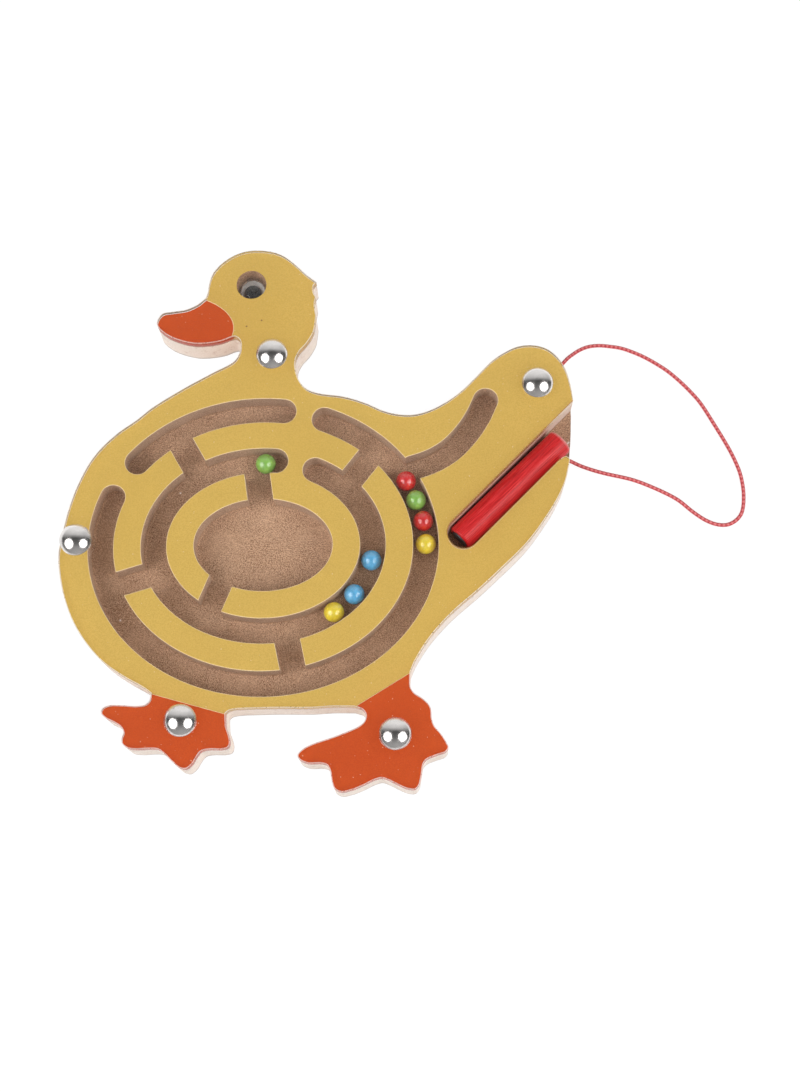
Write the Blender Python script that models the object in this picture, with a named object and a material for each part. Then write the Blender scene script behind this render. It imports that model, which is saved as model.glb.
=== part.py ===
"""Duck-shaped magnetic maze board: routed panel, coloured balls, clear cover and tethered pen.

Metres, +Z up. The panel lies face up on its flat back, with the origin under the middle of its outline.
The beak points to -X and the feet to -Y.
"""

import math

import bmesh
import bpy
from mathutils import Matrix, Vector

# Panel, printed face and cover
BOARD_WIDTH = 0.150
BOARD_THICKNESS = 0.010
FACE_THICKNESS = 0.0002
COVER_THICKNESS = 0.0025
GAP = 0.0003
OVERRUN = 0.002

# Maze, with each oval's half length and half width as shares of the board's width
CHANNEL_WIDTH = 0.0074
CHANNEL_DEPTH = 0.0070
FLOOR_RADIUS = 0.0008
CHAMBER_SHARES = (0.13467, 0.09200)
INNER_RING_SHARES = (0.21267, 0.17000)
OUTER_RING_SHARES = (0.31533, 0.27267)

# Balls
BALL_DIAMETER = 0.006

# Pen and its slot
PEN_DIAMETER = 0.008
PEN_LENGTH = 0.0424
PEN_EDGE_RADIUS = 0.0007
SLOT_CLEARANCE = 0.0007
SLOT_END_CLEARANCE = 0.0036
SLOT_RUN_OUT = 0.060
SLOT_WALL = 0.00265
SLOT_ANGLE = math.radians(45.5)
PEN_TILT = math.radians(-0.9)
MAGNET_DIAMETER = 0.0056
MAGNET_LENGTH = 0.0050
MAGNET_PROUD = 0.0004

# Cord and the holes that it runs in
CORD_DIAMETER = 0.0012
CORD_HOLE_CLEARANCE = 0.0003
CORD_STEP = 0.0034
TAIL_HOLE_LENGTH = 0.012
TETHER_INSET = 0.0029
TETHER_HOLE_DEPTH = 0.0031
TETHER_POCKET_LENGTH = 0.0024
TETHER_POCKET_WIDTH = 0.0024
TETHER_BORE_LENGTH = 0.012
TETHER_BORE_HEIGHT = 0.0017
TETHER_ANGLE = math.radians(-26.2)

# Googly eye
EYE_DIAMETER = 0.008
EYE_HOLE_CLEARANCE = 0.0005
EYE_BACK_THICKNESS = 0.0008
EYE_RIM_HEIGHT = 0.0006
EYE_LENS_HEIGHT = 0.0024
EYE_LENS_WALL = 0.00035
PUPIL_DIAMETER = 0.0052
PUPIL_THICKNESS = 0.0005
PUPIL_DROP = 0.0006

# Fasteners
DOME_DIAMETER = 0.0093
DOME_RIM_HEIGHT = 0.0006
DOME_CROWN_HEIGHT = 0.0024
DOME_EDGE_RADIUS = 0.0002
SLEEVE_DIAMETER = 0.0040
SLEEVE_CLEARANCE = 0.0003
SLEEVE_WALL = 0.00088
SLEEVE_FOOT_HEIGHT = 0.0034
THREAD_DIAMETER = 0.0026
THREAD_DEPTH = 0.0060
THREAD_REACH = 0.0050
SCREW_HEAD_DIAMETER = 0.0064
SCREW_HEAD_HEIGHT = 0.0014
SCREW_HEAD_CLEARANCE = 0.0004
SCREW_HEAD_SETBACK = 0.0003
SCREW_EDGE_RADIUS = 0.0003
RECESS_ARM_LENGTH = 0.0017
RECESS_ARM_WIDTH = 0.0006
RECESS_DEPTH = 0.0008

# Fineness of the round shapes
OUTLINE_STEP = 0.005
TURN_STEP = math.radians(12.0)
ARC_STEP = math.radians(6.0)
SPAN_STEPS = 6
CAP_STEPS = 6
CORNER_STEPS = 1
CROWN_STEPS = 4
FINE_SEGMENTS = 24
HOLE_SEGMENTS = 20
BALL_SEGMENTS = 16
BALL_RINGS = 10
SHARP_ANGLE = math.radians(35.0)

# The picture's view, in pixels: its centre, the point straight below the lens and the focal length.
VIEW_CENTRE_PX = (400.0, 546.0)
VIEW_NADIR_PX = (421.0, 993.0)
VIEW_FOCAL_PX = 1813.0

# Outline of the cover's top, clockwise, in stretches that meet at corners.
BEAK_PX = [
    (230.3, 337.3), (221.2, 340.8), (208.6, 343.0), (194.5, 343.4), (179.1, 340.1), (166.5, 334.5),
    (158.1, 326.8), (157.1, 321.2), (162.3, 313.5), (174.0, 311.2), (186.1, 309.3), (197.3, 304.4),
    (205.8, 297.8),
]
HEAD_PX = [
    (205.8, 297.8), (207.9, 291.7), (209.3, 283.3), (212.8, 273.5), (221.2, 263.7), (233.8, 255.3),
    (246.5, 251.0), (259.1, 250.1), (273.1, 251.7), (284.3, 256.0), (295.6, 264.4), (305.4, 273.5),
    (316.4, 281.6),
]
UPPER_FEATHER_PX = [(316.4, 281.6), (313.3, 286.0), (313.2, 291.5), (315.9, 297.0)]
LOWER_FEATHER_PX = [(315.9, 297.0), (314.7, 302.5), (315.0, 309.0), (316.2, 315.5)]
BACK_PX = [
    (316.2, 315.5), (315.2, 323.7), (313.4, 332.0), (306.8, 342.8), (299.8, 350.5), (295.6, 359.1),
    (295.6, 370.3), (299.8, 381.5), (306.8, 388.6), (318.0, 392.8), (344.2, 396.3), (365.9, 402.8),
    (383.2, 410.4), (398.4, 414.0), (413.6, 414.3), (428.8, 410.4), (446.1, 401.7), (461.3, 390.8),
    (478.2, 374.4), (491.9, 360.6), (505.7, 351.4), (518.0, 346.1), (533.3, 344.8), (547.0, 348.4),
    (557.8, 356.8), (565.4, 368.3), (570.0, 382.0), (573.0, 397.3), (573.8, 405.0),
]
MOUTH_PX = [(573.8, 405.0), (573.3, 430.0), (571.9, 448.5), (569.8, 462.3)]
BELLY_SIDE_PX = [
    (569.8, 462.3), (565.4, 481.5), (557.8, 498.4), (545.5, 518.3), (527.1, 542.8), (499.6, 570.0),
    (480.0, 588.2), (452.6, 612.0), (430.9, 635.9), (415.5, 660.0), (410.7, 671.3),
]
RIGHT_FOOT_PX = [
    (410.7, 671.3), (410.1, 679.5), (410.7, 687.2), (413.9, 692.3), (421.6, 697.4), (428.0, 703.1),
    (431.1, 708.9), (431.8, 717.8), (434.3, 725.5), (440.7, 733.1), (445.8, 740.8), (448.6, 747.1),
    (445.8, 751.6), (436.9, 754.8), (426.7, 759.3), (423.5, 763.7), (421.6, 775.2), (419.0, 785.4),
    (415.2, 789.0), (407.6, 788.6), (398.6, 784.8), (388.4, 779.7), (382.0, 777.8), (374.4, 779.7),
    (362.9, 785.4), (351.4, 789.9), (341.2, 791.8), (334.8, 788.6), (331.7, 780.3), (330.4, 771.4),
    (327.2, 765.0), (320.8, 763.1), (308.1, 763.1), (300.4, 759.9), (297.6, 755.4), (301.7, 749.7),
    (311.9, 744.0), (331.0, 737.6), (346.3, 731.8), (357.8, 726.7), (364.2, 721.6), (366.1, 715.3),
    (362.9, 709.5), (354.0, 706.3),
]
BELLY_UNDER_PX = [
    (354.0, 706.3), (331.0, 706.3), (311.9, 707.6), (280.0, 707.6), (250.0, 708.2), (235.6, 708.9),
    (228.5, 710.6), (225.4, 713.3),
]
LEFT_FOOT_PX = [
    (225.4, 713.3), (226.0, 726.7), (228.6, 734.4), (229.9, 742.0), (228.0, 747.1), (221.6, 749.1),
    (210.1, 749.1), (201.2, 751.0), (196.1, 757.3), (192.2, 763.7), (185.9, 768.6), (179.5, 767.6),
    (171.8, 761.2), (164.2, 753.5), (157.8, 749.1), (148.9, 748.4), (136.1, 749.1), (127.2, 747.8),
    (122.1, 743.3), (121.5, 738.2), (123.4, 731.8), (120.8, 726.7), (114.4, 722.3), (105.5, 717.8),
    (101.0, 712.7), (102.3, 708.2), (109.3, 705.1), (122.1, 705.1), (136.1, 705.9), (145.1, 704.4),
    (149.5, 700.0), (150.8, 692.9),
]
BREAST_PX = [
    (150.8, 692.9), (144.1, 687.9), (124.6, 677.0), (102.9, 661.9), (85.5, 642.4), (72.5, 620.7),
    (63.9, 596.8), (59.5, 575.1), (58.4, 553.5), (61.7, 536.1), (68.2, 510.1), (79.0, 481.9),
    (94.2, 455.9), (115.9, 434.2), (137.3, 419.2), (151.0, 408.2), (172.1, 394.9), (193.1, 382.9),
    (214.2, 371.7), (233.8, 361.2), (239.5, 352.8), (241.2, 345.0), (239.6, 339.3), (235.4, 336.3),
    (230.3, 337.3),
]

# Where the orange beak print meets the yellow one.
BEAK_SEAM_PX = [
    (205.8, 297.8), (217.0, 303.0), (226.8, 310.7), (232.4, 319.8), (233.1, 328.2), (230.3, 337.3),
]

# Rounding of the slot's lower lip, as the piece that is cut off, in the printed face.
LIP_TRIM_PX = [
    (556.5, 463.0), (560.2, 460.9), (563.0, 459.0), (566.0, 458.4), (568.9, 460.4), (570.4, 465.0),
    (571.5, 472.0), (584.0, 472.0), (584.0, 438.0), (560.0, 438.0), (546.0, 462.0),
]

# Places in the printed face.
MAZE_CENTRE_PX = (263.4, 545.3)
EYE_PX = (251.9, 286.0)
SLOT_END_PX = (463.6, 534.9)
LEFT_DOME_PX = (75.9, 540.3)
DOMES_PX = {
    "head": (272.0, 354.2),
    "tail": (537.6, 382.8),
    "left_foot": (180.3, 720.6),
    "right_foot": (395.4, 733.8),
}

# The round ends of the ring channels, each from its first end counter-clockwise to its last.
INNER_RING_ENDS_PX = ((276.3, 459.6), (318.2, 466.7))
OUTER_RING_ENDS_PX = ((115.9, 498.8), (325.8, 417.9))
SHORT_RING_ENDS_PX = ((284.6, 409.9), (138.7, 463.5))

# Middle of each passage between two channels, where it leaves the inner one and meets the outer one.
PASSAGES_PX = {
    "chamber_top": ((261.2, 503.0), (257.4, 474.3)),
    "chamber_corner": ((220.5, 582.8), (209.7, 607.1)),
    "upper_left": ((196.4, 470.0), (183.4, 447.2)),
    "left": ((147.4, 576.3), (120.3, 584.4)),
    "bottom": ((287.0, 639.4), (292.9, 667.9)),
    "upper_right": ((352.7, 478.4), (370.6, 456.2)),
}
PASSAGE_OVERLAP_SHARE = 0.32
TAIL_CHANNEL_PX = [
    (412.5, 468.5), (423.0, 465.3), (433.1, 461.3), (443.5, 455.6), (452.9, 448.7), (467.5, 433.1),
    (478.2, 416.8), (485.5, 401.2),
]

# Colour, ring channel, place and drift across the channel as a share of its free width.
BALLS = {
    "ball_red_1": ("red", "outer", (410.8, 479.9), 0.6),
    "ball_green_1": ("green", "outer", (417.3, 500.6), 0.2),
    "ball_red_2": ("red", "outer", (425.2, 521.4), 0.3),
    "ball_yellow_1": ("yellow", "outer", (426.4, 544.8), 0.0),
    "ball_blue_1": ("blue", "inner", (370.2, 560.9), -0.3),
    "ball_blue_2": ("blue", "inner", (351.4, 593.4), -0.4),
    "ball_yellow_2": ("yellow", "inner", (331.5, 610.5), -0.4),
    "ball_green_2": ("green", "inner", (266.2, 463.5), 0.2),
}

# Middle line of the cord from the tail's edge to the pen, laid by hand.
CORD_ROUTE = [
    (0.0683, 0.0435, 0.0030), (0.0731, 0.0488, 0.0030), (0.0745, 0.0504, 0.0026),
    (0.0759, 0.0518, 0.0016), (0.0781, 0.0535, 0.0009), (0.0808, 0.0547, 0.0007),
    (0.0842, 0.0551, 0.0007), (0.0876, 0.0548, 0.0007), (0.0910, 0.0542, 0.0007),
    (0.0948, 0.0528, 0.0007), (0.0981, 0.0512, 0.0007), (0.1014, 0.0492, 0.0007),
    (0.1048, 0.0468, 0.0007), (0.1081, 0.0438, 0.0007), (0.1113, 0.0404, 0.0007),
    (0.1141, 0.0369, 0.0007), (0.1181, 0.0300, 0.0007), (0.1223, 0.0221, 0.0007),
    (0.1242, 0.0177, 0.0007), (0.1254, 0.0138, 0.0007), (0.1260, 0.0078, 0.0007),
    (0.1252, 0.0025, 0.0007), (0.1235, 0.0002, 0.0007), (0.1209, -0.0012, 0.0007),
    (0.1180, -0.0012, 0.0007), (0.1147, 0.0000, 0.0007), (0.1109, 0.0026, 0.0007),
    (0.1067, 0.0062, 0.0007), (0.1034, 0.0082, 0.0007), (0.0968, 0.0113, 0.0007),
    (0.0927, 0.0128, 0.0007), (0.0844, 0.0148, 0.0007), (0.0803, 0.0160, 0.0009),
    (0.0773, 0.0170, 0.0014), (0.0747, 0.0182, 0.0017), (0.0716, 0.0197, 0.0017),
    (0.0705, 0.0203, 0.0020), (0.0697, 0.0207, 0.0029), (0.0694, 0.0208, 0.0041),
    (0.0694, 0.0208, 0.0060),
]

# Colours
PRINT_YELLOW = (0.66, 0.42, 0.07)
PRINT_ORANGE = (0.58, 0.10, 0.02)
FIBREBOARD = (0.35, 0.22, 0.14)
BALL_COLOURS = {
    "red": (0.60, 0.015, 0.02),
    "green": (0.22, 0.45, 0.08),
    "blue": (0.10, 0.36, 0.66),
    "yellow": (0.78, 0.60, 0.04),
}
PEN_RED = (0.60, 0.02, 0.02)
CORD_RED = (0.50, 0.05, 0.06)
EYE_GREY = (0.62, 0.62, 0.60)
BLACK = (0.012, 0.012, 0.014)
DARK_METAL = (0.10, 0.10, 0.11)
CHROME = (0.80, 0.80, 0.82)
STEEL = (0.55, 0.55, 0.56)
CLEAR = (0.95, 0.97, 0.98)
CLEAR_ALPHA = 0.3

# Heights that follow from the sizes above
FLOOR_Z = BOARD_THICKNESS - CHANNEL_DEPTH
FACE_Z = BOARD_THICKNESS + GAP
FACE_TOP_Z = FACE_Z + FACE_THICKNESS
COVER_Z = FACE_TOP_Z + GAP
COVER_TOP_Z = COVER_Z + COVER_THICKNESS
CUT_TOP_Z = COVER_TOP_Z + OVERRUN
BALL_Z = FLOOR_Z + GAP + BALL_DIAMETER / 2
PEN_Z = FLOOR_Z + GAP + PEN_DIAMETER / 2
EYE_BACK_Z = FLOOR_Z + GAP
EYE_TOP_Z = EYE_BACK_Z + EYE_BACK_THICKNESS + GAP
SLOT_WIDTH = PEN_DIAMETER + 2 * SLOT_CLEARANCE
EYE_HOLE_DIAMETER = EYE_DIAMETER + 2 * EYE_HOLE_CLEARANCE
SLEEVE_HOLE_DIAMETER = SLEEVE_DIAMETER + 2 * SLEEVE_CLEARANCE
CORD_HOLE_DIAMETER = CORD_DIAMETER + 2 * CORD_HOLE_CLEARANCE


def along(angle):
    """Unit vector of the plan at an angle from +X."""
    return Vector((math.cos(angle), math.sin(angle)))


def sight(pixel):
    """Where the line of sight through a pixel meets the plane that lies one unit below the lens."""
    centre = Vector((*VIEW_CENTRE_PX, 0))
    down = (Vector((*VIEW_NADIR_PX, VIEW_FOCAL_PX)) - centre).normalized()
    side = Vector((1, 0, 0))
    across = (side - side.dot(down) * down).normalized()
    away = across.cross(down)
    ray = Vector((*pixel, VIEW_FOCAL_PX)) - centre
    return Vector((ray.dot(across), ray.dot(away))) / ray.dot(down)


def smooth_path(points):
    """Points along a centripetal Catmull-Rom curve that passes through the given ones."""
    guides = [2 * points[0] - points[1], *points, 2 * points[-1] - points[-2]]
    path = []
    for before, start, end, after in zip(guides, guides[1:], guides[2:], guides[3:]):
        knot_1 = math.sqrt((start - before).length)
        knot_2 = knot_1 + math.sqrt((end - start).length)
        knot_3 = knot_2 + math.sqrt((after - end).length)
        for step in range(SPAN_STEPS):
            knot = knot_1 + (knot_2 - knot_1) * step / SPAN_STEPS
            first = before.lerp(start, knot / knot_1)
            second = start.lerp(end, (knot - knot_1) / (knot_2 - knot_1))
            third = end.lerp(after, (knot - knot_2) / (knot_3 - knot_2))
            near = first.lerp(second, knot / knot_2)
            far = second.lerp(third, (knot - knot_1) / (knot_3 - knot_1))
            path.append(near.lerp(far, (knot - knot_1) / (knot_2 - knot_1)))
    path.append(points[-1].copy())
    return path


def thin_path(path, longest):
    """The path without the points that its bends don't need."""
    kept = [path[0]]
    heading = path[1] - path[0]
    for point, following in zip(path[1:], path[2:]):
        turned = (following - point).angle(heading, 0) >= TURN_STEP
        stretched = (following - kept[-1]).length > longest
        if turned or stretched:
            kept.append(point)
            heading = following - point
    kept.append(path[-1])
    return kept


def joined(stretches):
    """Stretches end to end as one closed loop, each corner once."""
    return [point for stretch in stretches for point in stretch[:-1]]


def middle(values):
    """Half way between the least and the greatest of some values."""
    return (min(values) + max(values)) / 2


OUTLINE_PX = {
    "beak": BEAK_PX,
    "head": HEAD_PX,
    "upper_feather": UPPER_FEATHER_PX,
    "lower_feather": LOWER_FEATHER_PX,
    "back": BACK_PX,
    "mouth": MOUTH_PX,
    "belly_side": BELLY_SIDE_PX,
    "right_foot": RIGHT_FOOT_PX,
    "belly_under": BELLY_UNDER_PX,
    "left_foot": LEFT_FOOT_PX,
    "breast": BREAST_PX,
}
PRINTED_ORANGE = ("beak", "right_foot", "left_foot")
SIGHTS = {name: smooth_path([sight(pixel) for pixel in pixels]) for name, pixels in OUTLINE_PX.items()}
SIGHT_XS = [point.x for stretch in SIGHTS.values() for point in stretch]
SIGHT_YS = [point.y for stretch in SIGHTS.values() for point in stretch]
SIGHT_MIDDLE = Vector((middle(SIGHT_XS), middle(SIGHT_YS)))
LENS_ABOVE_COVER = BOARD_WIDTH / (max(SIGHT_XS) - min(SIGHT_XS))


def on_plan(point, height):
    """A sighted point in metres on the level at a height, measured from the outline's middle."""
    return point * (LENS_ABOVE_COVER + COVER_TOP_Z - height) - SIGHT_MIDDLE * LENS_ABOVE_COVER


def place(pixel, height):
    """Plan position in metres of what a pixel shows at a height."""
    return on_plan(sight(pixel), height)


def plan_stretch(sights):
    """One stretch of the outline in metres, with no more points than its bends need."""
    return thin_path([on_plan(point, COVER_TOP_Z) for point in sights], OUTLINE_STEP)


STRETCHES = {name: plan_stretch(sights) for name, sights in SIGHTS.items()}
BEAK_SEAM = plan_stretch(smooth_path([sight(pixel) for pixel in BEAK_SEAM_PX]))
OUTLINE = joined(STRETCHES.values())

MAZE_CENTRE = place(MAZE_CENTRE_PX, FACE_TOP_Z)
EYE_CENTRE = place(EYE_PX, FACE_TOP_Z)
CHAMBER = tuple(BOARD_WIDTH * share for share in CHAMBER_SHARES)
INNER_RING = tuple(BOARD_WIDTH * share for share in INNER_RING_SHARES)
OUTER_RING = tuple(BOARD_WIDTH * share for share in OUTER_RING_SHARES)


def ring_angle(ring, pixel, height=FACE_TOP_Z):
    """Ellipse angle of a ring channel at the place that a pixel shows."""
    offset = place(pixel, height) - MAZE_CENTRE
    return math.atan2(offset.y / ring[1], offset.x / ring[0])


def ring_point(ring, angle, drift=0.0):
    """Point of a ring channel's middle line, moved outwards by a drift."""
    point = Vector((ring[0] * math.cos(angle), ring[1] * math.sin(angle)))
    outward = Vector((math.cos(angle) / ring[0], math.sin(angle) / ring[1])).normalized()
    return MAZE_CENTRE + point + outward * drift


def beside_maze(pixel, height, wall, half_width):
    """Place outside the outer ring channel, level with a pixel and behind a wall."""
    drift = CHANNEL_WIDTH / 2 + wall + half_width
    return ring_point(OUTER_RING, ring_angle(OUTER_RING, pixel, height), drift)


SLOT_END = beside_maze(SLOT_END_PX, FACE_TOP_Z, SLOT_WALL, SLOT_WIDTH / 2)
PEN_ANGLE = SLOT_ANGLE + PEN_TILT
PEN_MIDDLE = SLOT_END + along(SLOT_ANGLE) * (PEN_LENGTH / 2 + SLOT_END_CLEARANCE - SLOT_WIDTH / 2)
TETHER_HOLE = PEN_MIDDLE + along(PEN_ANGLE) * (PEN_LENGTH / 2 - TETHER_INSET)
FASTENERS = {name: place(pixel, COVER_TOP_Z) for name, pixel in DOMES_PX.items()}
FASTENERS["left"] = beside_maze(LEFT_DOME_PX, COVER_TOP_Z, SLEEVE_WALL, SLEEVE_HOLE_DIAMETER / 2)


def bend_centre(ring, angle):
    """Centre of the circle that a ring channel follows near an angle."""
    surplus = ring[0] ** 2 - ring[1] ** 2
    across = surplus / ring[0] * math.cos(angle) ** 3
    away = -surplus / ring[1] * math.sin(angle) ** 3
    return MAZE_CENTRE + Vector((across, away))


def ring_path(ring, ends):
    """Middle line of a ring channel, counter-clockwise between two ends."""
    first, last = (ring_angle(ring, pixel) for pixel in ends)
    sweep = (last - first) % math.tau
    steps = math.ceil(sweep / ARC_STEP)
    return [ring_point(ring, first + sweep * step / steps) for step in range(steps + 1)]


def passage_path(ends):
    """Middle line of a passage, run on into the channels at both ends."""
    inner, outer = (place(pixel, FACE_TOP_Z) for pixel in ends)
    overlap = (outer - inner).normalized() * CHANNEL_WIDTH * PASSAGE_OVERLAP_SHARE
    return [inner - overlap, outer + overlap]


def lane_loop(path, half_width):
    """Closed loop round a path at a constant distance, with round ends."""
    headings = [(b - a).normalized() for a, b in zip(path, path[1:])]
    bends = [(a + b).normalized() for a, b in zip(headings, headings[1:])]
    headings = [headings[0], *bends, headings[-1]]
    lefts = [Vector((-heading.y, heading.x)) * half_width for heading in headings]
    loop = [point - left for point, left in zip(path, lefts)]
    loop += turn_about(path[-1], -lefts[-1])
    loop += [point + left for point, left in zip(reversed(path), reversed(lefts))]
    loop += turn_about(path[0], lefts[0])
    return loop


def turn_about(centre, arm):
    """The inner points of a counter-clockwise half circle that starts at the arm's end."""
    return [
        centre + Matrix.Rotation(math.pi * step / CAP_STEPS, 2) @ arm for step in range(1, CAP_STEPS)
    ]


def oval_loop(centre, half_length, half_width):
    """Closed counter-clockwise ellipse."""
    steps = round(math.tau / ARC_STEP)
    return [
        centre + Vector((half_length * math.cos(a), half_width * math.sin(a)))
        for a in (math.tau * step / steps for step in range(steps))
    ]


def raised(loop, height):
    """A plan loop at a height."""
    return [Vector((point.x, point.y, height)) for point in loop]


def corner_levels(radius):
    """Inset and rise of the levels of a rounded floor corner, from the floor up."""
    angles = [math.pi / 2 * step / CORNER_STEPS for step in range(CORNER_STEPS + 1)]
    return [(radius * (1 - math.sin(a)), radius * (1 - math.cos(a))) for a in angles]


def new_material(name, colour, roughness, metallic=0.0, alpha=1.0):
    """Principled material of one colour."""
    material = bpy.data.materials.new(name)
    material.use_nodes = True
    shader = material.node_tree.nodes["Principled BSDF"]
    shader.inputs["Base Color"].default_value = (*colour, 1.0)
    shader.inputs["Roughness"].default_value = roughness
    shader.inputs["Metallic"].default_value = metallic
    shader.inputs["Alpha"].default_value = alpha
    material.diffuse_color = (*colour, alpha)
    return material


def add_object(name, mesh, material=None, location=(0, 0, 0), parent=None):
    """Object of a mesh in the scene, with its material and place."""
    part = bpy.data.objects.new(name, mesh)
    bpy.context.scene.collection.objects.link(part)
    if material and not mesh.materials:
        mesh.materials.append(material)
    part.location = location
    part.parent = parent
    return part


def mesh_from(work, name, smooth=True):
    """Finished mesh of a bmesh, shaded smooth but for its sharp edges."""
    bmesh.ops.recalc_face_normals(work, faces=work.faces[:])
    mesh = bpy.data.meshes.new(name)
    work.to_mesh(mesh)
    work.free()
    if smooth:
        mesh.shade_smooth()
        mesh.set_sharp_from_angle(angle=SHARP_ANGLE)
    return mesh


def stacked_mesh(name, loops):
    """Closed mesh that rises through loops of as many points each."""
    work = bmesh.new()
    rings = [[work.verts.new(point) for point in loop] for loop in loops]
    work.faces.new(rings[0])
    work.faces.new(rings[-1])
    for lower, upper in zip(rings, rings[1:]):
        bridge(work, lower, upper)
    return mesh_from(work, name)


def bridge(work, lower, upper):
    """Faces between two rings, either of which may be a single point."""
    count = max(len(lower), len(upper))
    for index in range(count):
        following = (index + 1) % count
        corners = [lower[index % len(lower)], lower[following % len(lower)]]
        corners += [upper[following % len(upper)], upper[index % len(upper)]]
        unique = [corner for n, corner in enumerate(corners) if corner not in corners[:n]]
        work.faces.new(unique)


def turned_mesh(name, profile, segments):
    """Solid of revolution about Z, from radii and heights that start and end on the axis."""
    work = bmesh.new()
    rings = []
    for radius, height in profile:
        count = segments if radius > 0 else 1
        angles = [math.tau * step / count for step in range(count)]
        rings.append([work.verts.new((*(along(a) * radius), height)) for a in angles])
    for lower, upper in zip(rings, rings[1:]):
        bridge(work, lower, upper)
    return mesh_from(work, name)


def prism_mesh(name, loop, low, high):
    """Upright prism on a plan loop."""
    return stacked_mesh(name, [raised(loop, low), raised(loop, high)])


def cylinder_mesh(name, diameter, low, high, segments=HOLE_SEGMENTS):
    """Upright cylinder."""
    radius = diameter / 2
    return turned_mesh(name, [(0, low), (radius, low), (radius, high), (0, high)], segments)


def add_cutter(name, mesh, location=(0, 0, 0)):
    """Hidden shape that is cut out of others."""
    cutter = add_object(name, mesh, location=location)
    cutter.display_type = "WIRE"
    cutter.hide_render = True
    return cutter


def cut(target, cutters):
    """Cut shapes out of an object."""
    for cutter in cutters:
        modifier = target.modifiers.new(cutter.name, "BOOLEAN")
        modifier.operation = "DIFFERENCE"
        modifier.solver = "EXACT"
        modifier.object = cutter


def lane_cutter(name, path, width):
    """Cutter of a channel with a flat floor, rounded floor corners and round ends."""
    levels = [raised(lane_loop(path, width / 2 - inset), FLOOR_Z + rise)
              for inset, rise in corner_levels(FLOOR_RADIUS)]
    levels.append(raised(lane_loop(path, width / 2), FACE_TOP_Z + OVERRUN))
    return add_cutter(name, stacked_mesh(name, levels))


def maze_cutters():
    """The oval chamber, the ring channels, the passages between them and the tail channel."""
    levels = [(inset, FLOOR_Z + rise) for inset, rise in corner_levels(FLOOR_RADIUS)]
    levels.append((0, FACE_TOP_Z + OVERRUN))
    loops = [
        raised(oval_loop(MAZE_CENTRE, CHAMBER[0] - inset, CHAMBER[1] - inset), height)
        for inset, height in levels
    ]
    cutters = [add_cutter("cut_chamber", stacked_mesh("cut_chamber", loops))]
    rings = {
        "cut_inner_ring": (INNER_RING, INNER_RING_ENDS_PX),
        "cut_outer_ring": (OUTER_RING, OUTER_RING_ENDS_PX),
        "cut_short_ring": (OUTER_RING, SHORT_RING_ENDS_PX),
    }
    for name, (ring, ends) in rings.items():
        cutters.append(lane_cutter(name, ring_path(ring, ends), CHANNEL_WIDTH))
    for name, ends in PASSAGES_PX.items():
        cutters.append(lane_cutter("cut_passage_" + name, passage_path(ends), CHANNEL_WIDTH))
    tail = [place(pixel, FACE_TOP_Z) for pixel in TAIL_CHANNEL_PX]
    cutters.append(lane_cutter("cut_tail_channel", tail, CHANNEL_WIDTH))
    return cutters


def slot_cutters():
    """The pen's slot, open at the tail, and the rounding of its lower lip."""
    path = [SLOT_END, SLOT_END + along(SLOT_ANGLE) * SLOT_RUN_OUT]
    levels = [raised(lane_loop(path, SLOT_WIDTH / 2 - inset), FLOOR_Z + rise)
              for inset, rise in corner_levels(FLOOR_RADIUS)]
    levels.append(raised(lane_loop(path, SLOT_WIDTH / 2), CUT_TOP_Z))
    slot = add_cutter("cut_slot", stacked_mesh("cut_slot", levels))
    trim = [place(pixel, FACE_TOP_Z) for pixel in LIP_TRIM_PX]
    lip = add_cutter("cut_lip", prism_mesh("cut_lip", trim, FLOOR_Z + FLOOR_RADIUS, CUT_TOP_Z))
    return [slot, lip]


def eye_cutter():
    """The round hole that the eye sits in."""
    mesh = cylinder_mesh("cut_eye", EYE_HOLE_DIAMETER, FLOOR_Z, FACE_TOP_Z + OVERRUN, FINE_SEGMENTS)
    return add_cutter("cut_eye", mesh, (*EYE_CENTRE, 0))


def sleeve_cutters():
    """One hole through the cover and the prints for each dome nut's sleeve."""
    mesh = cylinder_mesh("cut_sleeve", SLEEVE_HOLE_DIAMETER, -OVERRUN, CUT_TOP_Z)
    return {
        name: add_cutter("cut_sleeve_" + name, mesh, (*centre, 0))
        for name, centre in FASTENERS.items()
    }


def counterbore_cutters():
    """For the board, the same holes with a recess in the back for each screw's head."""
    wide = SCREW_HEAD_DIAMETER / 2 + SCREW_HEAD_CLEARANCE
    narrow = SLEEVE_HOLE_DIAMETER / 2
    top = SCREW_HEAD_SETBACK + SCREW_HEAD_HEIGHT + GAP
    profile = [
        (0, -OVERRUN), (wide, -OVERRUN), (wide, top), (narrow, top), (narrow, CUT_TOP_Z), (0, CUT_TOP_Z),
    ]
    mesh = turned_mesh("cut_counterbore", profile, HOLE_SEGMENTS)
    return [
        add_cutter("cut_counterbore_" + name, mesh, (*centre, 0))
        for name, centre in FASTENERS.items()
    ]


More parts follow.
